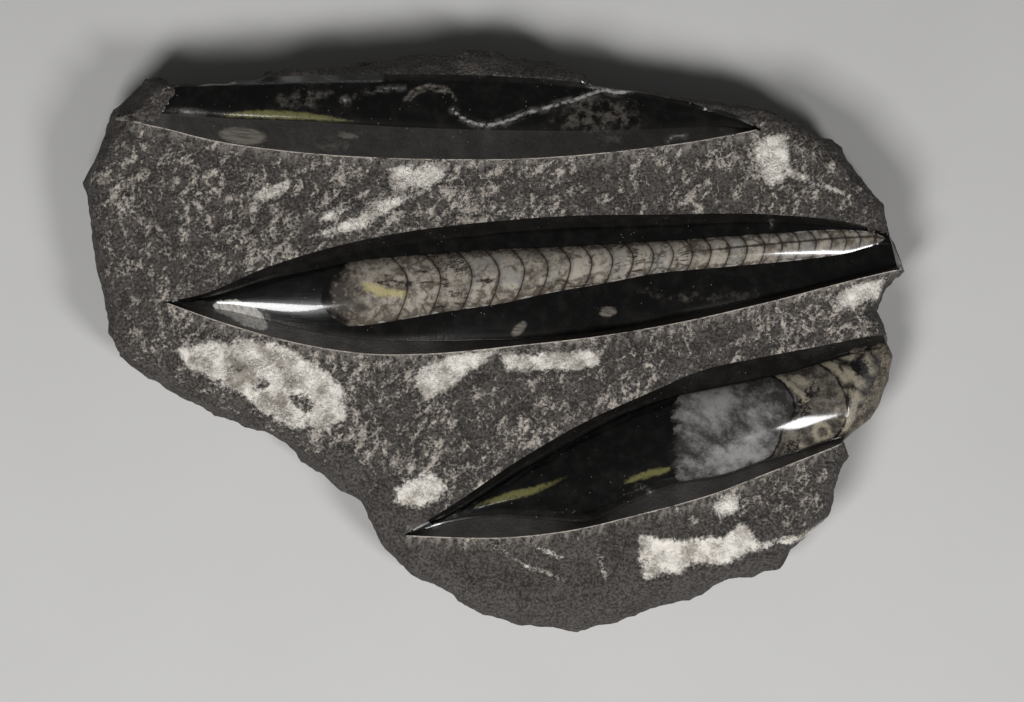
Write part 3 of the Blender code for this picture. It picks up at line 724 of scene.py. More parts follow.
class Recipe:
    """A material's nodes, written as expressions."""

    def __init__(self, name: str) -> None:
        """Starts a material of that name with a Principled shader."""
        self.material = bpy.data.materials.new(name)
        self.material.use_nodes = True
        self.tree = self.material.node_tree
        self.shader = self.tree.nodes["Principled BSDF"]
        self.place = self.add("TexCoord").outputs["Object"]

    def add(self, kind: str, inputs: dict[str | int, Input] | None = None,
            **settings: object) -> bpy.types.Node:
        """Adds a node.

        Args:
            kind: The node's type without its prefix.
            inputs: Links or plain values for its sockets, by name or number.
            **settings: Properties that are set first.

        Returns:
            The new node.
        """
        node = self.tree.nodes.new("ShaderNode" + kind)
        for name, value in settings.items():
            setattr(node, name, value)
        for key, value in (inputs or {}).items():
            self.feed(node.inputs[key], value)
        return node

    def feed(self, socket: bpy.types.NodeSocket, value: Input) -> None:
        """Links or sets a socket."""
        if isinstance(value, Value):
            value = value.socket
        if isinstance(value, bpy.types.NodeSocket):
            self.tree.links.new(value, socket)
        elif isinstance(value, Sequence) and len(value) < len(socket.default_value):
            socket.default_value = (*value, 1.0)
        else:
            socket.default_value = value

    def maths(self, operation: str, *terms: Value | float) -> Value:
        """A Math node on the terms."""
        return Value(self, self.add("Math", dict(enumerate(terms)), operation=operation).outputs[0])

    def attribute(self, name: str) -> Value:
        """A number kept on the mesh."""
        return Value(self, self.add("Attribute", attribute_name=name).outputs["Fac"])

    def turned(self, sizes: tuple[float, float, float], turn: float) -> bpy.types.NodeSocket:
        """Places measured in grains that are long one way.

        Args:
            sizes: The grain's length, width and height in millimetres.
            turn: The direction of its length in plan, in degrees.

        Returns:
            The places.
        """
        scale = tuple(size * MM for size in sizes)
        inputs = {"Vector": self.place, "Rotation": (0.0, 0.0, math.radians(turn)), "Scale": scale}
        return self.add("Mapping", inputs, vector_type="TEXTURE").outputs[0]

    def noise(self, size: float | tuple[float, float, float], detail: float = 2.0, turn: float = 0.0,
              roughness: float = 0.5) -> Value:
        """Noise from 0 to 1.

        Args:
            size: Its grain in millimetres, one size or a length, width and height.
            detail: How many finer layers it has.
            turn: The direction of its length in plan, in degrees.
            roughness: How strong the finer layers are.

        Returns:
            The noise.
        """
        sizes = size if isinstance(size, tuple) else (size, size, size)
        places = self.turned(sizes, turn)
        inputs = {"Vector": places, "Scale": 1.0, "Detail": detail, "Roughness": roughness}
        return Value(self, self.add("TexNoise", inputs).outputs[0])

    def cells(self, size: float, feature: str = "F1", warp: float = 0.0) -> Value:
        """Distances in a net of cells.

        Args:
            size: The cells' size in millimetres.
            feature: What is measured, as the Voronoi node names it.
            warp: How far the net is bent, as a part of that size.

        Returns:
            The distance, as a part of the cells' size.
        """
        places = self.turned((size, size, size), 0.0)
        if warp:
            bends = self.add("TexNoise", {"Vector": places, "Scale": 1.4, "Detail": 3.0}).outputs["Color"]
            bends = self.add("VectorMath", {0: bends, 3: warp}, operation="SCALE").outputs[0]
            places = self.add("VectorMath", {0: places, 1: bends}, operation="ADD").outputs[0]
        node = self.add("TexVoronoi", {"Vector": places, "Scale": 1.0}, feature=feature)
        return Value(self, node.outputs["Distance"])

    def chance(self, number: Value) -> Value:
        """A number from 0 to 1 that is the same for each whole number."""
        inputs = {"W": self.maths("FLOOR", number)}
        return Value(self, self.add("TexWhiteNoise", inputs, noise_dimensions="1D").outputs["Value"])

    def mix(self, factor: Value | float, one: Input, other: Input) -> bpy.types.NodeSocket:
        """One colour, turning into the other as the factor goes from 0 to 1."""
        return self.add("Mix", {0: factor, 6: one, 7: other}, data_type="RGBA").outputs[2]

    def within(self, name: str, soft: float, ragged: float, size: float, detail: float = 3.0) -> Value:
        """A mask that is 1 inside the marks of one kind.

        Args:
            name: The attribute that holds how far outside the marks each point is.
            soft: How wide the fade at their edge is, in millimetres.
            ragged: How far their edge wanders, in millimetres.
            size: The grain of that wandering.
            detail: How many finer layers it has.

        Returns:
            The mask.
        """
        wander = (self.noise(size, detail) - 0.5) * (NOISE_SPAN * ragged)
        return (self.attribute(name) + wander).rising(soft / 2, -soft / 2)

    def bump(self, height: Value, depth: float) -> None:
        """Raises the surface by a height from 0 to 1 of some depth in millimetres."""
        inputs = {"Height": height, "Distance": depth * MM, "Strength": 1.0}
        self.feed(self.shader.inputs["Normal"], self.add("Bump", inputs).outputs[0])

    def finish(self, colour: Input, roughness: Input, **constants: float) -> bpy.types.Material:
        """Feeds the shader.

        Args:
            colour: The base colour.
            roughness: The roughness.
            **constants: Plain numbers for other sockets, by name with _ for a space.

        Returns:
            The material.
        """
        self.feed(self.shader.inputs["Base Color"], colour)
        self.feed(self.shader.inputs["Roughness"], roughness)
        for name, value in constants.items():
            self.shader.inputs[name.replace("_", " ")].default_value = value
        return self.material


# --------------------------------------------------------------------------------------------------------
# Finishes
# --------------------------------------------------------------------------------------------------------


@dataclass(frozen=True)
class RoughLimestone:
    """Split and hammered limestone: brown-grey and grainy, with pale bruises and milky calcite."""

    dark: Colour = (0.024, 0.0210, 0.0185)
    body: Colour = (0.100, 0.088, 0.079)
    powder: Colour = (0.60, 0.54, 0.475)
    cream: Colour = (0.33, 0.295, 0.25)
    milk: Colour = (0.88, 0.83, 0.755)

    def bruises(self, r: Recipe, grain: Value) -> Value:
        """Patches of crushed powder where the hammer struck, most on the proud places."""
        slanting = r.noise((5.6, 2.8, 3.8), detail=4, turn=50, roughness=0.60)
        upright = r.noise((4.8, 2.7, 3.6), detail=4, turn=105, roughness=0.60)
        where = r.noise(26.0, detail=2) * 0.30 + r.attribute("proud") * 0.03 - 0.15
        blobs = slanting.most(upright - 0.02) + where + r.attribute("struck") * 0.22 - 0.21
        return (blobs + (grain - 0.5) * 0.46).rising(0.52, 0.69)

    def calcite(self, r: Recipe, grain: Value) -> Value:
        """Milky patches that fray out into the stone."""
        patch = r.attribute("calcite").rising(3.5, -4.5)
        hole = r.attribute("inclusion").rising(2.0, -2.0)
        clots = r.noise(8.0, detail=6, roughness=0.68)
        cover = patch * 1.1 - hole * 0.6 + (clots - 0.5) * 3.2 * patch + (grain - 0.5) * 0.7
        return cover.rising(0.36, 0.76)

    def material(self) -> bpy.types.Material:
        """Makes the material."""
        r = Recipe("rough_limestone")
        grain = r.noise(0.9, detail=3, roughness=0.75)
        lumps = r.noise(7.0, detail=5, roughness=0.65)
        stone = r.mix((grain * 0.8 + lumps * 0.2).rising(0.42, 0.59), self.dark, self.body)
        bruises = self.bruises(r, grain)
        rim = r.within("rim", soft=0.5, ragged=0.12, size=2.0) * r.noise(6.0, 2).rising(0.30, 0.45)
        flecks = r.noise((3.0, 1.8, 2.0), 4, 80, 0.6).rising(0.44, 0.62)
        fringe = flecks * r.attribute("rim").rising(5.0, 0.0)
        crushed = (bruises * (grain * 1.1 + 0.12)).most(fringe * 0.35).most(rim * 0.9)
        # Painted shade: the rough far-left end of the upper trough is darkened, and its bruises dimmed.
        dusk = r.attribute("end").rising(1.5, -7.0)
        stone = r.mix(crushed * (1 - dusk * 0.7), r.mix(dusk * 0.7, stone, self.dark), self.powder)
        patches = self.calcite(r, grain)
        white = (r.noise(7.0, 5, 0.0, 0.62) * 0.7 + grain * 0.3).rising(0.37, 0.57)
        colour = r.mix(patches, stone, r.mix(white, self.cream, self.milk))
        r.bump(grain * 0.4 + lumps * 0.6 + bruises * 0.2, 1.4)
        return r.finish(colour, 0.86 - patches * 0.38, IOR=1.5)


@dataclass(frozen=True)
class PolishedLimestone:
    """Ground limestone: black and glossy on the ridges, grey and matt on the walls of the troughs."""

    name: str = "polished_limestone"
    gloss: float = 0.5
    black: Colour = (0.0035, 0.0033, 0.0031)
    charcoal: Colour = (0.0095, 0.0088, 0.0082)
    wall: Colour = (0.17, 0.155, 0.143)
    vein: Colour = (0.36, 0.35, 0.33)
    pale: Colour = (0.20, 0.18, 0.155)
    fan: Colour = (0.52, 0.50, 0.46)
    # The colour of the painted greenish reflections.
    olive: Colour = (0.125, 0.118, 0.045)
    brown: Colour = (0.040, 0.031, 0.022)
    tan: Colour = (0.20, 0.17, 0.125)

    def specks(self, r: Recipe) -> Value:
        """Scattered pinpoint grains of calcite."""
        small = r.cells(1.7).rising(0.14, 0.06)
        return small * r.noise(6.0, 2).rising(0.50, 0.66)

    def marked(self, r: Recipe, fine: Value, mottle: Value) -> bpy.types.NodeSocket:
        """The black stone with its clouds and white veins, and painted reflections of something greenish.
        """
        colour = r.mix(mottle.rising(0.42, 0.72), self.black, self.charcoal)
        colour = r.mix(self.specks(r) * 0.45, colour, self.vein)
        smoke = r.noise(2.6, 6, 0.0, 0.72).rising(0.42, 0.62)
        colour = r.mix(r.within("cloud", soft=3.0, ragged=1.2, size=3.0) * smoke * 0.34, colour, self.pale)
        # Painted reflection: greenish slivers along the ridges.
        reflection_sliver = r.within("olive", soft=1.0, ragged=0.25, size=1.6)
        colour = r.mix(reflection_sliver * (mottle * 0.8 + fine * 0.7).rising(0.45, 0.85), colour, self.olive)
        vein = r.within("vein", soft=0.55, ragged=0.14, size=1.6)
        halo = r.attribute("vein").rising(1.6, 0.0) * smoke * 0.18
        return r.mix((vein * r.noise(1.3, 3).rising(0.28, 0.55) * 0.8).most(halo), colour, self.vein)

    def material(self) -> bpy.types.Material:
        """Makes the material."""
        r = Recipe(self.name)
        mottle = r.noise(5.0, detail=5, roughness=0.65)
        fine = r.noise(0.8, detail=3)
        colour = self.marked(r, fine, mottle)
        near = r.attribute("near_wall").rising(0.25, -0.25)
        far = r.attribute("far_wall").rising(0.25, -0.25)
        haze = r.attribute("near_wall").rising(3.0, 0.0) * 0.15
        # The walls, and a strip of the ridge beside each near wall, are made paler and matt, as much as
        # each trough gives.
        dust = (near.most(haze) * r.attribute("dust")).most(far * 0.05)
        colour = r.mix(dust * (fine * 0.5 + mottle * 0.6), colour, self.wall)
        streaks = r.noise((6.0, 0.7, 2.0), 4, -8, 0.6).rising(0.34, 0.62)
        oval = r.within("oval", soft=0.9, ragged=0.16, size=1.4)
        colour = r.mix(oval * (streaks * 0.55 + 0.30), colour, self.pale)
        rays = r.noise((5.0, 0.5, 2.0), 3, 105).rising(0.35, 0.62)
        fan = r.within("fan", soft=0.7, ragged=0.25, size=1.6)
        colour = r.mix(fan * (rays * 0.45 + 0.45), colour, self.fan)
        brown = r.within("brown", soft=2.0, ragged=0.9, size=4.0, detail=4)
        old = r.mix((mottle * 0.6 + fine * 0.4).rising(0.43, 0.60), self.brown, self.tan)
        colour = r.mix(brown, colour, old)
        dull = r.attribute("dull").rising(0.8, -0.8)
        matt = (dust * 1.2).most(brown).most(far * 0.35).most(dull).least(1.0)
        rubbed = r.noise((7.0, 0.3, 2.0), 3, 4).rising(0.2, 0.8) * 0.6 + 0.7
        satin = r.attribute("satin").rising(4.0, -7.0) * rubbed
        self.wax(r, matt, satin)
        r.bump(fine * matt, 0.25)
        roughness = (matt * 0.50).most(satin * 0.22) + 0.09
        return r.finish(colour, roughness, IOR=1.52, Coat_Roughness=0.07, Specular_IOR_Level=self.gloss)

    def wax(self, r: Recipe, matt: Value, satin: Value) -> None:
        """The clear film of polish left on the rounded backs of the ridges."""
        r.feed(r.shader.inputs["Coat Weight"], satin * (1 - matt))


@dataclass(frozen=True)
class ChamberedShell:
    """The middle orthocone in section: cream calcite chambers between dark septa, with a siphuncle."""

    cream: Colour = (0.375, 0.338, 0.285)
    grey: Colour = (0.225, 0.222, 0.215)
    umber: Colour = (0.082, 0.066, 0.053)
    brown: Colour = (0.020, 0.015, 0.012)
    black: Colour = (0.006, 0.005, 0.005)
    # The colour of the painted golden reflection on the shell.
    yellow: Colour = (0.47, 0.405, 0.20)
    white: Colour = (0.52, 0.50, 0.46)

    def calcite(self, r: Recipe, fine: Value, edge: Value) -> bpy.types.NodeSocket:
        """The marbled calcite that fills the chambers, each in its own tone."""
        chamber = r.attribute("chamber")
        cloud = r.noise(3.4, detail=7, roughness=0.70)
        tone = r.chance(chamber) * 0.09 + cloud * 0.74 + fine * 0.18
        colour = r.mix(tone.rising(0.33, 0.60), self.umber, self.cream)
        pale = r.chance(chamber + 40.0).rising(0.35, 0.75) * r.noise(6.0, 3).rising(0.42, 0.56)
        colour = r.mix(pale * 0.6, colour, self.grey)
        seams = r.cells(4.2, "DISTANCE_TO_EDGE", warp=0.9).rising(0.20, 0.02)
        seams = seams * (r.noise(5.0, 3) + edge * 0.18).rising(0.47, 0.60)
        colour = r.mix(seams * 0.85, colour, self.umber)
        return r.mix((cloud + edge * 0.20).rising(0.60, 0.74) * 0.85, colour, self.umber)

    def needles(self, r: Recipe) -> Value:
        """Dark needles in two runs of chambers."""
        chamber = r.attribute("chamber")
        early = chamber.rising(0.9, 1.1) * chamber.rising(2.3, 1.9)
        late = chamber.rising(7.9, 8.3) * chamber.rising(12.6, 12.0)
        strokes = r.noise((2.8, 0.42, 1.0), 3, 14).rising(0.54, 0.62)
        upright = r.noise((2.2, 0.40, 1.0), 3, 68).rising(0.55, 0.62)
        return (early * strokes.most(upright)).most(late * strokes) * r.noise(5.0, 2).rising(0.42, 0.52)

    def band(self, r: Recipe, fine: Value) -> Value:
        """A brown band along the near side of the middle chambers."""
        chamber = r.attribute("chamber")
        wander = (r.noise(4.0, 3) - 0.5) * 1.2
        here = abs(r.attribute("across") + 0.58 + wander * 0.7).rising(0.17, 0.02)
        return here * chamber.rising(2.6, 3.4) * chamber.rising(9.0, 7.5) * fine.rising(0.35, 0.50)

    def material(self) -> bpy.types.Material:
        """Makes the material."""
        r = Recipe("chambered_shell")
        chamber, across, half = r.attribute("chamber"), r.attribute("across"), r.attribute("half")
        fine = r.noise(0.7, detail=4, roughness=0.65)
        edge = abs(across).rising(0.55, 1.0)
        colour = self.calcite(r, fine, edge)
        colour = r.mix(self.band(r, fine) * 0.7, colour, self.brown)
        colour = r.mix(self.needles(r) * 0.85, colour, self.black)
        crumbs = ((1 - abs(across)) * half + r.noise(1.6, 3) * 2.4 - 1.2).rising(0.6, 0.1)
        colour = r.mix(crumbs * r.noise(4.0, 2).rising(0.48, 0.56) * 0.6, colour, self.white)
        start = chamber.rising(-0.9, -2.2)
        mottled = (r.noise(2.0, 6, 0.0, 0.72) + start * 0.15).rising(0.44, 0.64)
        colour = r.mix(start * mottled * 0.85, colour, self.brown)
        # Painted reflection: a golden patch on the shell, along the ridge's crest.
        yellow = r.within("yellow", soft=1.8, ragged=0.45, size=1.8)
        colour = r.mix(yellow * (fine * 1.2 + 0.15).least(1.0), colour, self.yellow)
        nearest = abs(r.maths("FRACT", chamber + 0.5) - 0.5) * r.attribute("pitch")
        septum = nearest + (r.noise(2.4, 3) - 0.5) * 0.5
        septa = septum.rising(0.40, 0.18) * chamber.rising(-0.4, -0.1)
        shade = septum.rising(1.5, 0.1) * chamber.rising(-0.4, -0.1) * 0.42
        colour = r.mix((septa * 0.9).most(shade), colour, self.brown)
        tube = abs(across - r.attribute("tube")) * half + (r.noise(2.0, 3) - 0.5) * 0.8
        siphuncle = tube.rising(0.55, 0.25) * chamber.rising(11.0, 14.0) * fine.rising(0.30, 0.42)
        colour = r.mix(siphuncle * 0.85, colour, self.brown)
        dark = r.within("dark", soft=0.45, ragged=0.16, size=1.2)
        smudge = r.within("smudge", soft=1.8, ragged=0.4, size=2.0)
        colour = r.mix((dark * 0.88).most(smudge * 0.8), colour, self.brown)
        body = r.within("body", soft=3.6, ragged=1.5, size=4.0, detail=7)
        waxed = chamber.rising(15.0, 18.0)
        r.feed(r.shader.inputs["Coat Weight"], waxed)
        return r.finish(r.mix(body, self.black, colour), fine * 0.06 + waxed * 0.14 + 0.10, IOR=1.55,
                        Coat_Roughness=0.08)


@dataclass(frozen=True)
class SparShell:
    """The lower orthocone: a chamber of cloudy spar, then cream chambers and a weathered brown end."""

    spar: Colour = (0.275, 0.266, 0.260)
    clear: Colour = (0.030, 0.028, 0.027)
    cream: Colour = (0.285, 0.252, 0.190)
    tan: Colour = (0.170, 0.152, 0.124)
    brown: Colour = (0.036, 0.031, 0.027)
    black: Colour = (0.006, 0.005, 0.005)

    def clots(self, r: Recipe, fine: Value) -> bpy.types.NodeSocket:
        """The cloudy spar: pale clots in clear grey crystal."""
        lumps = r.cells(3.6, "SMOOTH_F1", warp=1.6)
        cloud = r.noise((8.0, 4.5, 5.0), detail=8, turn=-35, roughness=0.76)
        sparks = r.cells(1.3).rising(0.22, 0.08) * r.noise(5.0, 2).rising(0.50, 0.62)
        milky = r.attribute("milky").rising(7.0, -6.0) * 0.34 - 0.17
        tone = cloud * 0.9 + (0.45 - lumps) * 0.36 + (fine - 0.5) * 0.30 + milky
        return r.mix(sparks * 0.4, r.mix(tone.rising(0.20, 0.76), self.clear, self.spar), self.cream)

    def lobes(self, r: Recipe, cloud: Value, fine: Value) -> bpy.types.NodeSocket:
        """The last chambers: cream lobes with brown rims and dark seams between them."""
        places = r.cells(6.5, "DISTANCE_TO_EDGE", warp=0.9)
        pale = places * 1.6 + cloud * 0.7 + (fine - 0.5) * 0.3
        colour = r.mix(pale.rising(0.40, 0.95), self.brown, self.cream)
        arcs = abs(places - 0.20).rising(0.035, 0.0) * cloud.rising(0.44, 0.56)
        return r.mix(places.rising(0.045, 0.01).most(arcs * 0.5) * 0.85, colour, self.black)

    def material(self) -> bpy.types.Material:
        """Makes the material."""
        r = Recipe("spar_shell")
        cloud = r.noise(4.0, detail=6, roughness=0.68)
        fine = r.noise(0.8, detail=4, roughness=0.65)
        chambers = r.mix((cloud * 0.75 + fine * 0.25).rising(0.40, 0.64), self.brown, self.tan)
        last = r.within("last", soft=0.8, ragged=0.2, size=2.0)
        chambers = r.mix(last, chambers, self.lobes(r, cloud, fine))
        colour = r.mix(r.within("spar", soft=1.0, ragged=0.3, size=2.5), chambers, self.clots(r, fine))
        cream = r.within("cream", soft=1.5, ragged=0.45, size=1.8)
        colour = r.mix(cream * (fine * 0.9 + cloud * 0.3).rising(0.30, 0.62), colour, self.cream)
        black = r.within("black", soft=1.2, ragged=0.5, size=1.6) * fine.rising(0.60, 0.44)
        colour = r.mix(black * 0.9, colour, self.black)
        dark = r.within("dark", soft=0.4, ragged=0.12, size=1.6)
        colour = r.mix(dark * 0.9, colour, self.black)
        weathered = r.within("weathered", soft=2.0, ragged=0.8, size=3.0, detail=4)
        frayed = (r.noise((9.0, 3.0, 4.0), 8, 20, 0.78) - 0.5) * 16.0
        body = (r.attribute("body") + frayed).rising(1.2, -1.2)
        colour = r.mix(body, self.black, colour)
        r.bump(fine * weathered, 0.4)
        return r.finish(colour, weathered * 0.25 + 0.11, IOR=1.55)


@dataclass(frozen=True)
class StudioFloor:
    """A plain pale matt board."""

    colour: Colour = (0.60, 0.595, 0.585)
    shadow: Colour = (0.56, 0.555, 0.545)

    def material(self) -> bpy.types.Material:
        """Makes the material."""
        r = Recipe("studio_board")
        return r.finish(r.mix(r.noise(60.0, 3), self.colour, self.shadow), 0.9)


# --------------------------------------------------------------------------------------------------------
# Mesh helpers
# --------------------------------------------------------------------------------------------------------


def activate(obj: bpy.types.Object) -> None:
    """Makes an object the only selected one, and active."""
    bpy.ops.object.select_all(action="DESELECT")
    obj.select_set(True)
    bpy.context.view_layer.objects.active = obj


def edit(obj: bpy.types.Object, mode: str = "VERT") -> None:
    """Enters edit mode on an object, to select its vertices, edges or faces."""
    activate(obj)
    bpy.ops.object.mode_set(mode="EDIT")
    bpy.ops.mesh.select_mode(type=mode)


def leave_edit() -> None:
    """Leaves edit mode."""
    bpy.ops.object.mode_set(mode="OBJECT")


def coordinates(obj: bpy.types.Object) -> np.ndarray:
    """The places of an object's vertices."""
    places = np.empty(len(obj.data.vertices) * 3)
    obj.data.vertices.foreach_get("co", places)
    return places.reshape(-1, 3)


def set_coordinates(obj: bpy.types.Object, places: np.ndarray) -> None:
    """Moves an object's vertices."""
    obj.data.vertices.foreach_set("co", places.ravel())
    obj.data.update()


def face_middles(obj: bpy.types.Object) -> np.ndarray:
    """The middle of each of an object's faces."""
    middles = np.empty(len(obj.data.polygons) * 3)
    obj.data.polygons.foreach_get("center", middles)
    return middles.reshape(-1, 3)


def keep(obj: bpy.types.Object, name: str, values: np.ndarray) -> None:
    """Keeps a number for each vertex on the mesh, for a material to read."""
    attribute = obj.data.attributes.new(name, "FLOAT", "POINT")
    attribute.data.foreach_set("value", np.asarray(values, np.float32))


def keep_marks(obj: bpy.types.Object, plan: np.ndarray, kinds: dict[str, Sequence[Mark]]) -> None:
    """Keeps how far each vertex is outside the marks of each kind.

    Args:
        obj: The mesh object.
        plan: Its vertices' plan points, in millimetres.
        kinds: The marks of each kind, by the attribute's name.
    """
    for name, marks in kinds.items():
        keep(obj, name, nearest_edge(marks, plan))


def plan_triangles(loops: Sequence[np.ndarray], points: np.ndarray, edges: Sequence[tuple[int, int]] = ()
                   ) -> tuple[np.ndarray, list[list[int]]]:
    """Triangles in plan that fill the outermost loop.

    Args:
        loops: Closed outlines, which the triangles' edges follow.
        points: Other points.
        edges: Pairs of those points that are edges too.

    Returns:
        The points and the triangles.
    """
    fixed, count = [], 0
    for loop in loops:
        ring = list(range(count, count + len(loop)))
        fixed += list(zip(ring, ring[1:] + ring[:1]))
        count += len(loop)
    fixed += [(a + count, b + count) for a, b in edges]
    every = [Vector(point) for point in np.vstack([*loops, points])]
    inside_loops = 1
    verts, _, faces, _, _, _ = delaunay_2d_cdt(every, fixed, [], inside_loops, MERGE_GAP)
    return np.array(verts), [list(face) for face in faces]


def sheet_object(name: str, plan: np.ndarray, heights: np.ndarray,
                 faces: list[list[int]]) -> bpy.types.Object:
    """A sheet of plan triangles at their heights, as a new object in millimetres."""
    mesh = bpy.data.meshes.new(name)
    mesh.from_pydata(np.column_stack([plan, heights]).tolist(), [], faces)
    obj = bpy.data.objects.new(name, mesh)
    bpy.context.scene.collection.objects.link(obj)
    return obj


def apart(points: np.ndarray, others: np.ndarray, gap: float) -> np.ndarray:
    """Which points keep a gap to all the others."""
    tree = kdtree.KDTree(len(others))
    for i, (x, y) in enumerate(others):
        tree.insert((x, y, 0.0), i)
    tree.balance()
    return np.array([tree.find((x, y, 0.0))[2] > gap for x, y in points])


def scattered(low: np.ndarray, high: np.ndarray, step: float, jitter: float = 0.28) -> np.ndarray:
    """Points spread evenly but not in rows over a box in plan."""
    random = np.random.default_rng(5)
    xs = np.arange(low[0], high[0], step)
    ys = np.arange(low[1], high[1], step * 0.87)
    grid = np.array([(x + step / 2 * (j % 2), y) for j, y in enumerate(ys) for x in xs])
    return grid + random.uniform(-jitter, jitter, grid.shape) * step


def trough_net(trough: Trough, station_step: float, row_step: float, row_gap: float
               ) -> tuple[np.ndarray, list[tuple[int, int]]]:
    """Points over a trough, in rows that follow its six lines.

    Args:
        trough: The trough.
        station_step: How far apart the points are along it.
        row_step: How far apart they are across it.
        row_gap: The least distance between two of them.

    Returns:
        The points, and the pairs of points along the lines that are edges.
    """
    points, edges = [], []
    previous: dict[int, int] = {}
    for x in np.linspace(trough.first, trough.last, round((trough.last - trough.first) / station_step) + 1):
        rows = trough.rows(x)
        wanted = [(i, rows[i]) for i in (0, 5, 1, 4, 2, 3)]
        for high, low in zip(rows[:-1], rows[1:]):
            count = math.ceil((high - low) / row_step)
            turns = np.linspace(0, math.pi, count + 1)[1:-1]
            wanted += [(-1, (high + low) / 2 + (high - low) / 2 * math.cos(t)) for t in turns]
        kept: list[float] = []
        current: dict[int, int] = {}
        for line, y in wanted:
            if all(abs(y - other) > row_gap for other in kept):
                kept.append(y)
                if line >= 0:
                    current[line] = len(points)
                points.append((x, y))
        edges += [(previous[line], current[line]) for line in current if line in previous]
        previous = current
    return np.array(points), edges


def to_frame(obj: bpy.types.Object) -> None:
    """Moves a mesh from plan millimetres to the frame's metres."""
    places = coordinates(obj)
    places[:, :2] -= PLAN_MIDDLE
    set_coordinates(obj, places * MM)


def displace(obj: bpy.types.Object, name: str, depth: float, size: float, group: str) -> None:
    """Roughens a mesh with a cloud texture and applies it.

    Args:
        obj: The mesh object, in metres.
        name: The texture's name.
        depth: How far it moves, in millimetres.
        size: The size of its lumps, in millimetres.
        group: The vertex group that says where and how much.
    """
    texture = bpy.data.textures.new(name, "CLOUDS")
    texture.noise_scale = size * MM
    texture.noise_depth = 2
    modifier = obj.modifiers.new(name, "DISPLACE")
    modifier.texture = texture
    modifier.texture_coords = "LOCAL"
    modifier.strength = depth * MM
    modifier.mid_level = 0.5
    modifier.vertex_group = group
    activate(obj)
    bpy.ops.object.modifier_apply(modifier=modifier.name)


# --------------------------------------------------------------------------------------------------------
# The pieces
# --------------------------------------------------------------------------------------------------------


@dataclass(frozen=True, eq=False)
class ShellForm:
    """A fossil's place in a ridge: it fills the rib from `first` to `last`, with its own outline past them.

    `side` and `round` say how deep it reaches, as parts of its half width: all over, and how much more
    along its middle. `power` says how full the curve between is.
    """

    trough: Trough
    first: float
    last: float
    blunt_end: tuple[Place, ...]
    far_end: tuple[Place, ...]
    side: float = 0.3
    round: float = 0.55
    power: float = 0.7

    def outline(self, step: float) -> np.ndarray:
        """The shell's plan outline, counterclockwise, with points about a step apart along the rib."""
        xs = np.linspace(self.first, self.last, round((self.last - self.first) / step) + 1)
        rows = self.trough.rows(xs)
        far_side = np.column_stack([xs, rows[2]])[::-1]
        near_side = np.column_stack([xs, rows[3]])
        return divided(np.vstack([near_side, self.far_end, far_side, self.blunt_end]), step)

    def depth(self, points: np.ndarray) -> np.ndarray:
        """How far the shell reaches below the ground surface: most along its middle."""
        rows = self.trough.rows(points[:, 0])
        half = (rows[2] - rows[3]) / 2
        return half * (self.side + self.round * arch(points[:, 1], rows[3], rows[2], self.power))


MIDDLE_FORM = ShellForm(
    trough=MIDDLE,
    first=-46.0,
    last=120.0,
    blunt_end=((-49.5, 21.5), (-53.5, 17.0), (-54.5, 12.0), (-51.5, 7.5)),
    far_end=((123.2, 31.2), (124.6, 32.2), (123.4, 33.1)),
)

LOWER_FORM = ShellForm(
    trough=LOWER,
    first=59.0,
    last=112.0,
    blunt_end=((55.5, -22.5), (57.0, -29.0), (54.8, -35.0), (56.2, -41.5)),
    far_end=((115.2, -25.0), (118.0, -19.0), (121.6, -12.0), (123.6, -6.0), (122.6, -2.9), (117.6, -4.1)),
)


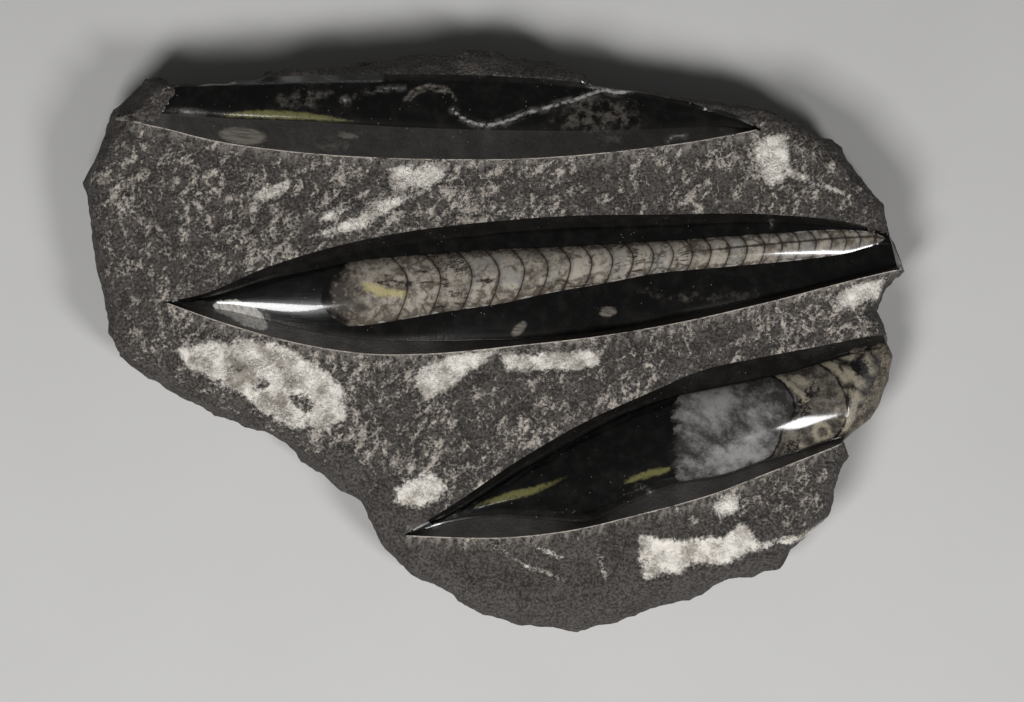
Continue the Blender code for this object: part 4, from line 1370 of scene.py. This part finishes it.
@dataclass
class Matrix:
    """The limestone slab: rough top, three ground troughs, the shells' pockets, broken sides, sawn base.

    The steps and gaps are how far apart the mesh's points lie, and `seam` is the gap under a shell. The
    grain fades in over `rough_foot` above the base, and over `rough_fade` beside the troughs. `knocks` and
    `grain` each have a depth and a size. No ground face lies lower than `lowest_polish` above the base.
    """

    ground: Ground
    shells: tuple[ShellForm, ...]
    rough_step: float = 0.80
    station_step: float = 1.0
    row_step: float = 0.9
    row_gap: float = 0.3
    rough_gap: float = 0.45
    pocket_step: float = 2.6
    seam: float = 0.04
    edge_step: float = 1.25
    side_rings: int = 20
    rough_foot: float = 3.0
    rough_fade: float = 2.0
    rough_end_fade: float = 1.5
    knocks: tuple[float, float] = (1.3, 3.6)
    grain: tuple[float, float] = (0.55, 1.3)
    steepest_polish: float = 0.05
    lowest_polish: float = 17.0
    shaded_gloss: float = 0.12
    rim_gap: float = 0.01
    rim_half: float = 0.3
    most_proud: float = 2.0
    quiet_fade: float = 12.0
    quiet_least: float = 0.12
    struck_depth: float = 6.0
    struck_fade: float = 3.0
    low_least: float = 0.1
    crease: float = 24.0

    def build(self) -> bpy.types.Object:
        """Makes the slab as one closed mesh, dressed and placed."""
        outline, normals = self.ground.fine_outline(self.edge_step)
        border = outline - normals * self.ground.rings[0][1]
        slab = self.make_top(border)
        for shell in self.shells:
            self.sink_pocket(slab, shell)
        sides = self.make_sides(outline, normals, border)
        self.close(slab, sides)
        to_frame(slab)
        self.roughen(slab)
        self.dress(slab)
        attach(slab, "root")
        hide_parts("matrix")
        return slab

    def make_top(self, border: np.ndarray) -> bpy.types.Object:
        """The top as one sheet inside its border, with edges along the rims, grooves and shells."""
        pockets = [shell.outline(self.station_step) for shell in self.shells]
        points, edges = np.empty((0, 2)), []
        taken = np.vstack([border, *pockets])
        for trough in self.ground.troughs:
            net, pairs = trough_net(trough, self.station_step, self.row_step, self.row_gap)
            good = inside(border, net) & (distance_to(border, net) > self.rough_gap)
            for pocket in pockets:
                good &= ~inside(pocket, net)
            good &= apart(net, taken, self.row_gap)
            numbers = np.cumsum(good) - 1 + len(points)
            edges += [(numbers[a], numbers[b]) for a, b in pairs if good[a] and good[b]]
            points = np.vstack([points, net[good]])
        taken = np.vstack([taken, points])
        scatter = scattered(border.min(0), border.max(0), self.rough_step)
        scatter = scatter[inside(border, scatter) & ~self.ground.is_ground(scatter)]
        scatter = scatter[apart(scatter, taken, self.rough_gap)]
        beds = [self.pocket_bed(pocket) for pocket in pockets]
        plan, faces = plan_triangles([border, *pockets], np.vstack([points, scatter, *beds]), edges)
        return sheet_object("limestone_slab", plan, self.ground.surface(plan), faces)

    def pocket_bed(self, pocket: np.ndarray) -> np.ndarray:
        """A few points over a pocket's bed, which a shell hides."""
        bed = scattered(pocket.min(0), pocket.max(0), self.pocket_step)
        return bed[inside(pocket, bed) & (distance_to(pocket, bed) > self.pocket_step / 2)]

    def sink_pocket(self, slab: bpy.types.Object, shell: ShellForm) -> None:
        """Presses the bed of a shell's pocket down, with a wall round it."""
        chosen = inside(shell.outline(self.station_step), face_middles(slab)[:, :2])
        edit(slab, "FACE")
        bpy.ops.mesh.select_all(action="DESELECT")
        leave_edit()
        slab.data.polygons.foreach_set("select", chosen)
        bpy.ops.object.mode_set(mode="EDIT")
        bpy.ops.mesh.extrude_region_move()
        leave_edit()
        moved = np.zeros(len(slab.data.vertices), bool)
        slab.data.vertices.foreach_get("select", moved)
        places = coordinates(slab)
        places[moved, 2] -= shell.depth(places[moved, :2]) + self.seam
        set_coordinates(slab, places)

    def make_sides(self, outline: np.ndarray, normals: np.ndarray, border: np.ndarray) -> bpy.types.Object:
        """The broken sides: a grid bent round the outline, from the top border down to the base."""
        columns = len(outline)
        bpy.ops.object.select_all(action="DESELECT")
        bpy.ops.mesh.primitive_grid_add(x_subdivisions=columns, y_subdivisions=self.side_rings, size=2)
        sides = bpy.context.object
        high = self.ground.surface(border)
        parts = np.linspace(0, 1, self.side_rings + 1)
        rings = [self.ground.side_ring(outline, normals, part, high) for part in parts]
        rings[-1] = np.column_stack([border, high])
        set_coordinates(sides, np.vstack([np.vstack([ring, ring[:1]]) for ring in rings]))
        return sides

    def close(self, slab: bpy.types.Object, sides: bpy.types.Object) -> None:
        """Joins the sides to the top and closes the base."""
        activate(slab)
        sides.select_set(True)
        bpy.ops.object.join()
        edit(slab)
        bpy.ops.mesh.select_all(action="SELECT")
        bpy.ops.mesh.remove_doubles(threshold=WELD_GAP)
        bpy.ops.mesh.select_all(action="DESELECT")
        bpy.ops.mesh.select_mode(type="EDGE")
        bpy.ops.mesh.select_non_manifold()
        bpy.ops.mesh.edge_face_add()
        bpy.ops.mesh.quads_convert_to_tris()
        bpy.ops.mesh.select_all(action="SELECT")
        bpy.ops.mesh.normals_make_consistent(inside=False)
        leave_edit()

    def roughen(self, slab: bpy.types.Object) -> None:
        """Gives the rough stone its knocks and grain, and leaves the ground troughs and the base smooth."""
        places = coordinates(slab)
        plan = places[:, :2] / MM + PLAN_MIDDLE
        weight = np.clip(places[:, 2] / (self.rough_foot * MM), 0, 1)
        x, y = plan.T
        for trough in self.ground.troughs:
            rows = trough.rows(x)
            across = np.maximum(y - rows[0], rows[-1] - y)
            away = np.maximum(across, np.maximum(trough.first - x, x - trough.last))
            weight *= np.clip(away / self.rough_fade, 0, 1)
        within = -nearest_edge(ROUGH_ENDS, plan)
        weight = np.maximum(weight, np.clip(within / self.rough_end_fade, 0, 1))
        where = "rough"
        group = slab.vertex_groups.new(name=where)
        for number, share in enumerate(weight):
            if share > 0:
                group.add([number], float(share), "REPLACE")
        displace(slab, "knocks", *self.knocks, where)
        displace(slab, "grain", *self.grain, where)
        places = coordinates(slab)
        places[:, 2] = places[:, 2].clip(0)
        set_coordinates(slab, places)
        slab.vertex_groups.remove(slab.vertex_groups[where])

    def dress(self, slab: bpy.types.Object) -> None:
        """Assigns the rough and polished finishes, and keeps the marks' distances on the mesh."""
        # Painted shade: a less glossy copy of the polished finish darkens the far walls.
        shaded_wall = PolishedLimestone("shaded_wall", gloss=self.shaded_gloss)
        for finish in (RoughLimestone(), PolishedLimestone(), shaded_wall):
            slab.data.materials.append(finish.material())
        slab.data.polygons.foreach_set("material_index", self.finish_numbers(slab))
        plan = coordinates(slab)[:, :2] / MM + PLAN_MIDDLE
        keep_marks(slab, plan, {"calcite": CALCITE, "inclusion": INCLUSIONS, "vein": VEINS,
                                "oval": PALE_OVALS, "cloud": CLOUDS, "olive": OLIVE_REFLECTIONS, "brown": BROWN_ENDS,
                                "fan": FAN, "satin": SATIN, "dull": DULL, "end": ROUGH_ENDS})
        self.keep_walls(slab, plan)
        self.keep_relief(slab, plan)
        activate(slab)
        bpy.ops.object.shade_smooth_by_angle(angle=math.radians(self.crease))

    def finish_numbers(self, slab: bpy.types.Object) -> np.ndarray:
        """Which finish each face has: 0 rough, 1 polished, 2 painted shade: a less glossy copy of the
        polished finish on the far walls of the middle and lower troughs.
        """
        places = face_middles(slab) / MM
        middles = places[:, :2] + PLAN_MIDDLE
        up = np.empty(len(slab.data.polygons) * 3)
        slab.data.polygons.foreach_get("normal", up)
        polished = self.ground.is_ground(middles) & (up.reshape(-1, 3)[:, 2] > self.steepest_polish)
        polished &= (places[:, 2] > self.lowest_polish) & (nearest_edge(ROUGH_ENDS, middles) > 0)
        shaded = np.zeros(len(middles), bool)
        for trough in self.ground.troughs[1:]:
            shaded |= trough.holds(*middles.T) & (middles[:, 1] > trough.rows(middles[:, 0])[1])
        return (polished * (1 + shaded)).astype(np.int32)

    def keep_walls(self, slab: bpy.types.Object, plan: np.ndarray) -> None:
        """Keeps how far each point is from the walls and near rims, and how pale and matt the walls are."""
        x, y = plan.T
        near, far, rim, dust = (np.full(len(plan), FAR_AWAY) for _ in range(4))
        for trough in self.ground.troughs:
            rows = trough.rows(x)
            along = (x > trough.first) & (x < trough.last)
            on_rim = along & (np.minimum(np.abs(y - rows[0]), np.abs(y - rows[-1])) < self.rim_gap)
            within = trough.holds(x, y) | on_rim
            near[within] = (y - rows[4])[within]
            far[within] = (rows[1] - y)[within]
            dust[within] = trough.dust(x)[within]
            rim[along] = np.minimum(rim, np.abs(y - rows[-1]))[along]
        keep(slab, "near_wall", near)
        keep(slab, "far_wall", far)
        keep(slab, "dust", dust)
        keep(slab, "rim", rim - self.rim_half)

    def keep_relief(self, slab: bpy.types.Object, plan: np.ndarray) -> None:
        """Keeps how proud each place of the rough stone is, and how much the hammer struck there."""
        z = coordinates(slab)[:, 2] / MM
        level = self.ground.level(*plan.T)
        keep(slab, "proud", np.clip(z - level, -self.most_proud, self.most_proud))
        quiet = nearest_edge(QUIET_GROUND, plan)
        open_ground = np.clip(quiet / self.quiet_fade + HALF_FADE, self.quiet_least, 1.0)
        high = np.clip((z - level + self.struck_depth) / self.struck_fade, self.low_least, 1.0)
        keep(slab, "struck", open_ground * high)


@dataclass
class MiddleOrthocone:
    """The middle shell: a long tapering cone in section, set in its ridge."""

    ground: Ground
    form: ShellForm = MIDDLE_FORM
    step: float = 0.45
    seam: float = 0.02
    chambers: Line = Line((-60, -3.5), (-26.9, 0), (-6.6, 2), (17.4, 5), (37.8, 8), (63.1, 12), (86, 16),
                          (107.4, 20), (125.6, 24))
    tube: Line = Line((-50, 0.1), (62.3, 0.15), (93.9, 0.27), (117.7, 0.33))
    bulge: float = 0.42
    # Where a golden reflection is painted on the shell.
    yellow: tuple[Mark, ...] = (
        Patch(((-41.4, 18.0), (-36.7, 17.7), (-33.2, 16.2), (-27.2, 15.3), (-27.2, 13.6), (-36.7, 13.9),
               (-39.9, 15.6))),
    )
    dark: tuple[Mark, ...] = (
        Stroke(0.7, ((-36.4, 18.1), (-32.0, 18.7), (-26.9, 17.9))),
        Stroke(0.6, ((-36.4, 18.1), (-32.0, 17.0), (-26.9, 17.5))),
        Oval((-26.7, 17.7), (1.3, 0.9)),
        Stroke(0.6, ((-37.5, 20.9), (-33.5, 20.4), (-29.0, 20.6), (-26.9, 19.6)), Taper.SPINDLE),
        Stroke(0.6, ((-25.9, 21.5), (-22.5, 21.8), (-17.4, 20.6)), Taper.SPINDLE),
        Stroke(0.5, ((-25.0, 17.9), (-20.0, 18.3), (-16.0, 17.5)), Taper.SPINDLE),
        Stroke(0.9, ((-7.3, 18.6), (-3.0, 18.8), (1.3, 18.2)), Taper.SPINDLE),
        Oval((-1.6, 18.6), (1.3, 0.9)),
        Stroke(0.5, ((20.0, 16.6), (26.5, 16.9), (36.0, 18.4)), Taper.SPINDLE),
        Stroke(0.9, ((121.5, 33.6), (121.3, 30.4))),
    )
    smudge: tuple[Mark, ...] = (Oval((-41.9, 10.4), (2.6, 1.8), -15.0),)
    body_step: float = 4.0
    side_reach: float = 0.5
    past_side: float = 4.0
    blunt_x: float = -48.0
    short_of_end: float = 2.5
    past_point: float = 6.0

    def build(self) -> bpy.types.Object:
        """Makes the shell as one closed mesh, dressed and placed."""
        shell = make_shell("orthocone_in_section", self.ground, self.form, self.step, self.seam)
        shell.data.materials.append(ChamberedShell().material())
        plan = coordinates(shell)[:, :2]
        x, y = plan.T
        rows = self.form.trough.rows(x)
        half = (rows[2] - rows[3]) / 2
        across = np.clip((y - (rows[2] + rows[3]) / 2) / half, -1.2, 1.2)
        lean = np.where(across > 0.1, 1.55, 0.75)
        shifted = x + self.bulge * half * lean * np.abs(across - 0.1) ** 1.8
        keep(shell, "chamber", self.chambers(shifted))
        keep(shell, "pitch", 1 / (self.chambers(shifted + 0.5) - self.chambers(shifted - 0.5)).clip(1e-3))
        keep(shell, "across", across)
        keep(shell, "half", half)
        keep(shell, "tube", self.tube(x))
        keep_marks(shell, plan, {"yellow": self.yellow, "dark": self.dark, "smudge": self.smudge,
                                 "body": (self.body(),)})
        return place_shell(shell, "middle_orthocone")

    def body(self) -> Patch:
        """Where the shell is calcite: past its sides and its point, but short of its blunt end."""
        outline = self.form.outline(self.body_step)
        x = outline[:, 0]
        rows = self.form.trough.rows(x)
        outline[:, 1] += np.where(outline[:, 1] > rows[2] - self.side_reach, self.past_side, 0.0)
        outline[:, 1] -= np.where(outline[:, 1] < rows[3] + self.side_reach, self.past_side, 0.0)
        blunt = np.where(x < self.blunt_x, self.short_of_end, 0.0)
        outline[:, 0] = x + np.where(x > self.form.last, self.past_point, blunt)
        return Patch(tuple(map(tuple, outline)))


@dataclass
class LowerOrthocone:
    """The lower shell: a wide chamber of spar and the last chambers of a broken cone."""

    ground: Ground
    form: ShellForm = LOWER_FORM
    step: float = 0.5
    seam: float = 0.02
    spar: tuple[Mark, ...] = (
        Patch(((45.0, -8.0), (88.5, -8.0), (92.5, -13.9), (95.7, -18.0), (96.6, -22.1), (94.0, -26.0),
               (90.6, -27.8), (90.0, -32.3), (88.1, -36.4), (84.3, -39.5), (80.0, -50.0), (45.0, -60.0))),
    )
    cream: tuple[Mark, ...] = (
        Stroke(1.6, ((89.8, -10.8), (95.5, -15.5), (98.7, -18.7))),
        Stroke(2.0, ((102.0, -5.0), (108.2, -8.8), (111.4, -12.5))),
        Stroke(2.6, ((113.0, -15.5), (114.6, -19.6), (113.6, -25.5), (110.5, -29.6)), Taper.SPINDLE),
        Stroke(2.4, ((110.5, -8.5), (114.5, -12.0), (116.5, -15.5)), Taper.SPINDLE),
        Ring((104.1, -29.1), 2.4, 1.5),
        Ring((110.4, -23.4), 2.0, 0.9),
        Oval((97.0, -12.8), (3.0, 1.4), -20.0),
        Stroke(1.0, ((97.0, -33.5), (100.5, -35.0), (104.0, -35.0))),
    )
    black: tuple[Mark, ...] = (
        Oval((97.4, -22.4), (2.6, 3.6), -10.0),
        Oval((116.4, -8.4), (3.4, 2.6), -20.0),
        Oval((100.8, -16.0), (2.0, 2.6)),
        Oval((94.5, -34.0), (2.0, 3.0), -30.0),
    )
    dark: tuple[Mark, ...] = (
        Stroke(0.8, ((88.6, -11.4), (92.0, -13.9), (94.6, -18.0), (95.4, -22.1), (93.5, -26.0),
                     (91.1, -28.8), (90.5, -32.3), (88.6, -36.4), (84.8, -39.5))),
        Stroke(0.6, ((103.4, -7.6), (108.2, -11.4), (111.3, -16.8), (112.3, -21.8), (111.3, -26.9),
                     (108.2, -31.3))),
        Oval((116.0, -8.6), (3.0, 1.9), -20.0),
    )
    milky: tuple[Mark, ...] = (
        Oval((68.0, -20.0), (9.0, 7.0), 10.0),
        Oval((79.0, -36.0), (11.0, 5.5), 20.0),
        Oval((83.0, -22.5), (3.5, 3.0)),
    )
    last: tuple[Mark, ...] = (
        Patch(((103.4, -6.6), (108.2, -11.4), (111.3, -16.8), (112.3, -21.8), (111.3, -26.9),
               (107.0, -33.0), (132.0, -33.0), (132.0, 4.0), (103.0, 4.0))),
    )
    body_start: float = 57.5

    def build(self) -> bpy.types.Object:
        """Makes the shell as one closed mesh, dressed and placed."""
        shell = make_shell("orthocone_with_spar", self.ground, self.form, self.step, self.seam)
        shell.data.materials.append(SparShell().material())
        plan = coordinates(shell)[:, :2]
        keep_marks(shell, plan, {"spar": self.spar, "cream": self.cream, "black": self.black,
                                 "dark": self.dark, "milky": self.milky, "last": self.last,
                                 "weathered": BROWN_ENDS})
        keep(shell, "body", self.body_start - plan[:, 0])
        return place_shell(shell, "lower_orthocone")


def make_shell(name: str, ground: Ground, form: ShellForm, step: float, seam: float) -> bpy.types.Object:
    """A shell's closed mesh: the ground rib above and its rounded underside.

    Args:
        name: The piece's name.
        ground: The slab that it is set in.
        form: Its place and form.
        step: How far apart the mesh's points are.
        seam: Its gap to the pocket's wall.

    Returns:
        The new object, in plan millimetres.
    """
    edge = form.outline(1.0)
    edge = edge + outward(edge) * seam
    net, _ = trough_net(form.trough, step, step, step / 2)
    net = net[inside(edge, net)]
    net = net[distance_to(edge, net) > step / 2]
    plan, faces = plan_triangles([edge], net)
    shell = sheet_object(name, plan, ground.surface(plan), faces)
    edit(shell, "FACE")
    bpy.ops.mesh.select_all(action="SELECT")
    bpy.ops.mesh.extrude_region_move()
    leave_edit()
    moved = np.zeros(len(shell.data.vertices), bool)
    shell.data.vertices.foreach_get("select", moved)
    places = coordinates(shell)
    places[moved, 2] -= form.depth(places[moved, :2])
    set_coordinates(shell, places)
    edit(shell)
    bpy.ops.mesh.select_all(action="SELECT")
    bpy.ops.mesh.normals_make_consistent(inside=False)
    leave_edit()
    return shell


def place_shell(shell: bpy.types.Object, node: str) -> bpy.types.Object:
    """Moves a finished shell to the frame, in place of its CAD node."""
    to_frame(shell)
    activate(shell)
    bpy.ops.object.shade_smooth_by_angle(angle=math.radians(50))
    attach(shell, "root")
    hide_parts(node)
    return shell


# --------------------------------------------------------------------------------------------------------
# The studio
# --------------------------------------------------------------------------------------------------------


@dataclass(frozen=True)
class SoftBox:
    """A rectangular soft light that faces the slab."""

    name: str
    direction: tuple[float, float, float]
    distance: float
    sizes: tuple[float, float]
    power: float

    def place(self, aim: Vector) -> bpy.types.Object:
        """Adds the light, turned to the aim."""
        towards = Vector(self.direction).normalized()
        bpy.ops.object.light_add(type="AREA", location=aim + towards * self.distance)
        light = bpy.context.object
        light.name = self.name
        light.rotation_euler = towards.to_track_quat("Z", "Y").to_euler()
        light.data.shape = "RECTANGLE"
        light.data.size, light.data.size_y = self.sizes
        light.data.energy = self.power
        return light


@dataclass
class Studio:
    """A pale board, two soft boxes, a dim room and a camera that looks straight down."""

    aim: tuple[float, float, float] = (0.00598, -0.0030, 0.027)
    view_width: float = 0.3239
    lens: float = 150.0
    sensor: float = 36.0
    board: float = 3.0
    room: float = 0.06
    lights: tuple[SoftBox, ...] = (
        SoftBox("left_box", (-0.32, -0.42, 0.85), 1.0, (0.34, 0.38), 6.4),
        SoftBox("right_box", (0.46, -0.42, 0.78), 1.0, (0.20, 0.28), 4.2),
    )

    def build(self) -> None:
        """Adds the board, the lights, the room's light and the camera."""
        bpy.ops.object.select_all(action="DESELECT")
        bpy.ops.mesh.primitive_plane_add(size=self.board)
        floor = bpy.context.object
        floor.name = "studio_floor"
        floor.data.materials.append(StudioFloor().material())
        for light in self.lights:
            light.place(Vector(self.aim))
        world = bpy.data.worlds.new("room")
        world.use_nodes = True
        world.node_tree.nodes["Background"].inputs["Color"].default_value = (1.0, 1.0, 1.0, 1.0)
        world.node_tree.nodes["Background"].inputs["Strength"].default_value = self.room
        bpy.context.scene.world = world
        height = self.aim[2] + self.view_width * self.lens / self.sensor
        bpy.ops.object.camera_add(location=(self.aim[0], self.aim[1], height), rotation=(0.0, 0.0, 0.0))
        camera = bpy.context.object
        camera.data.lens = self.lens
        camera.data.sensor_width = self.sensor
        bpy.context.scene.camera = camera
        bpy.context.scene.view_settings.view_transform = "Standard"


def main() -> None:
    """Builds every piece in order, then the studio."""
    logging.basicConfig(level=logging.INFO, format="%(name)s: %(message)s")
    ground = Ground()
    pieces = (Matrix(ground, (MIDDLE_FORM, LOWER_FORM)), MiddleOrthocone(ground), LowerOrthocone(ground))
    for piece in pieces:
        made = piece.build()
        log.info("%s: %d faces", made.name, len(made.data.polygons))
    Studio().build()


if __name__ == "__main__":
    main()
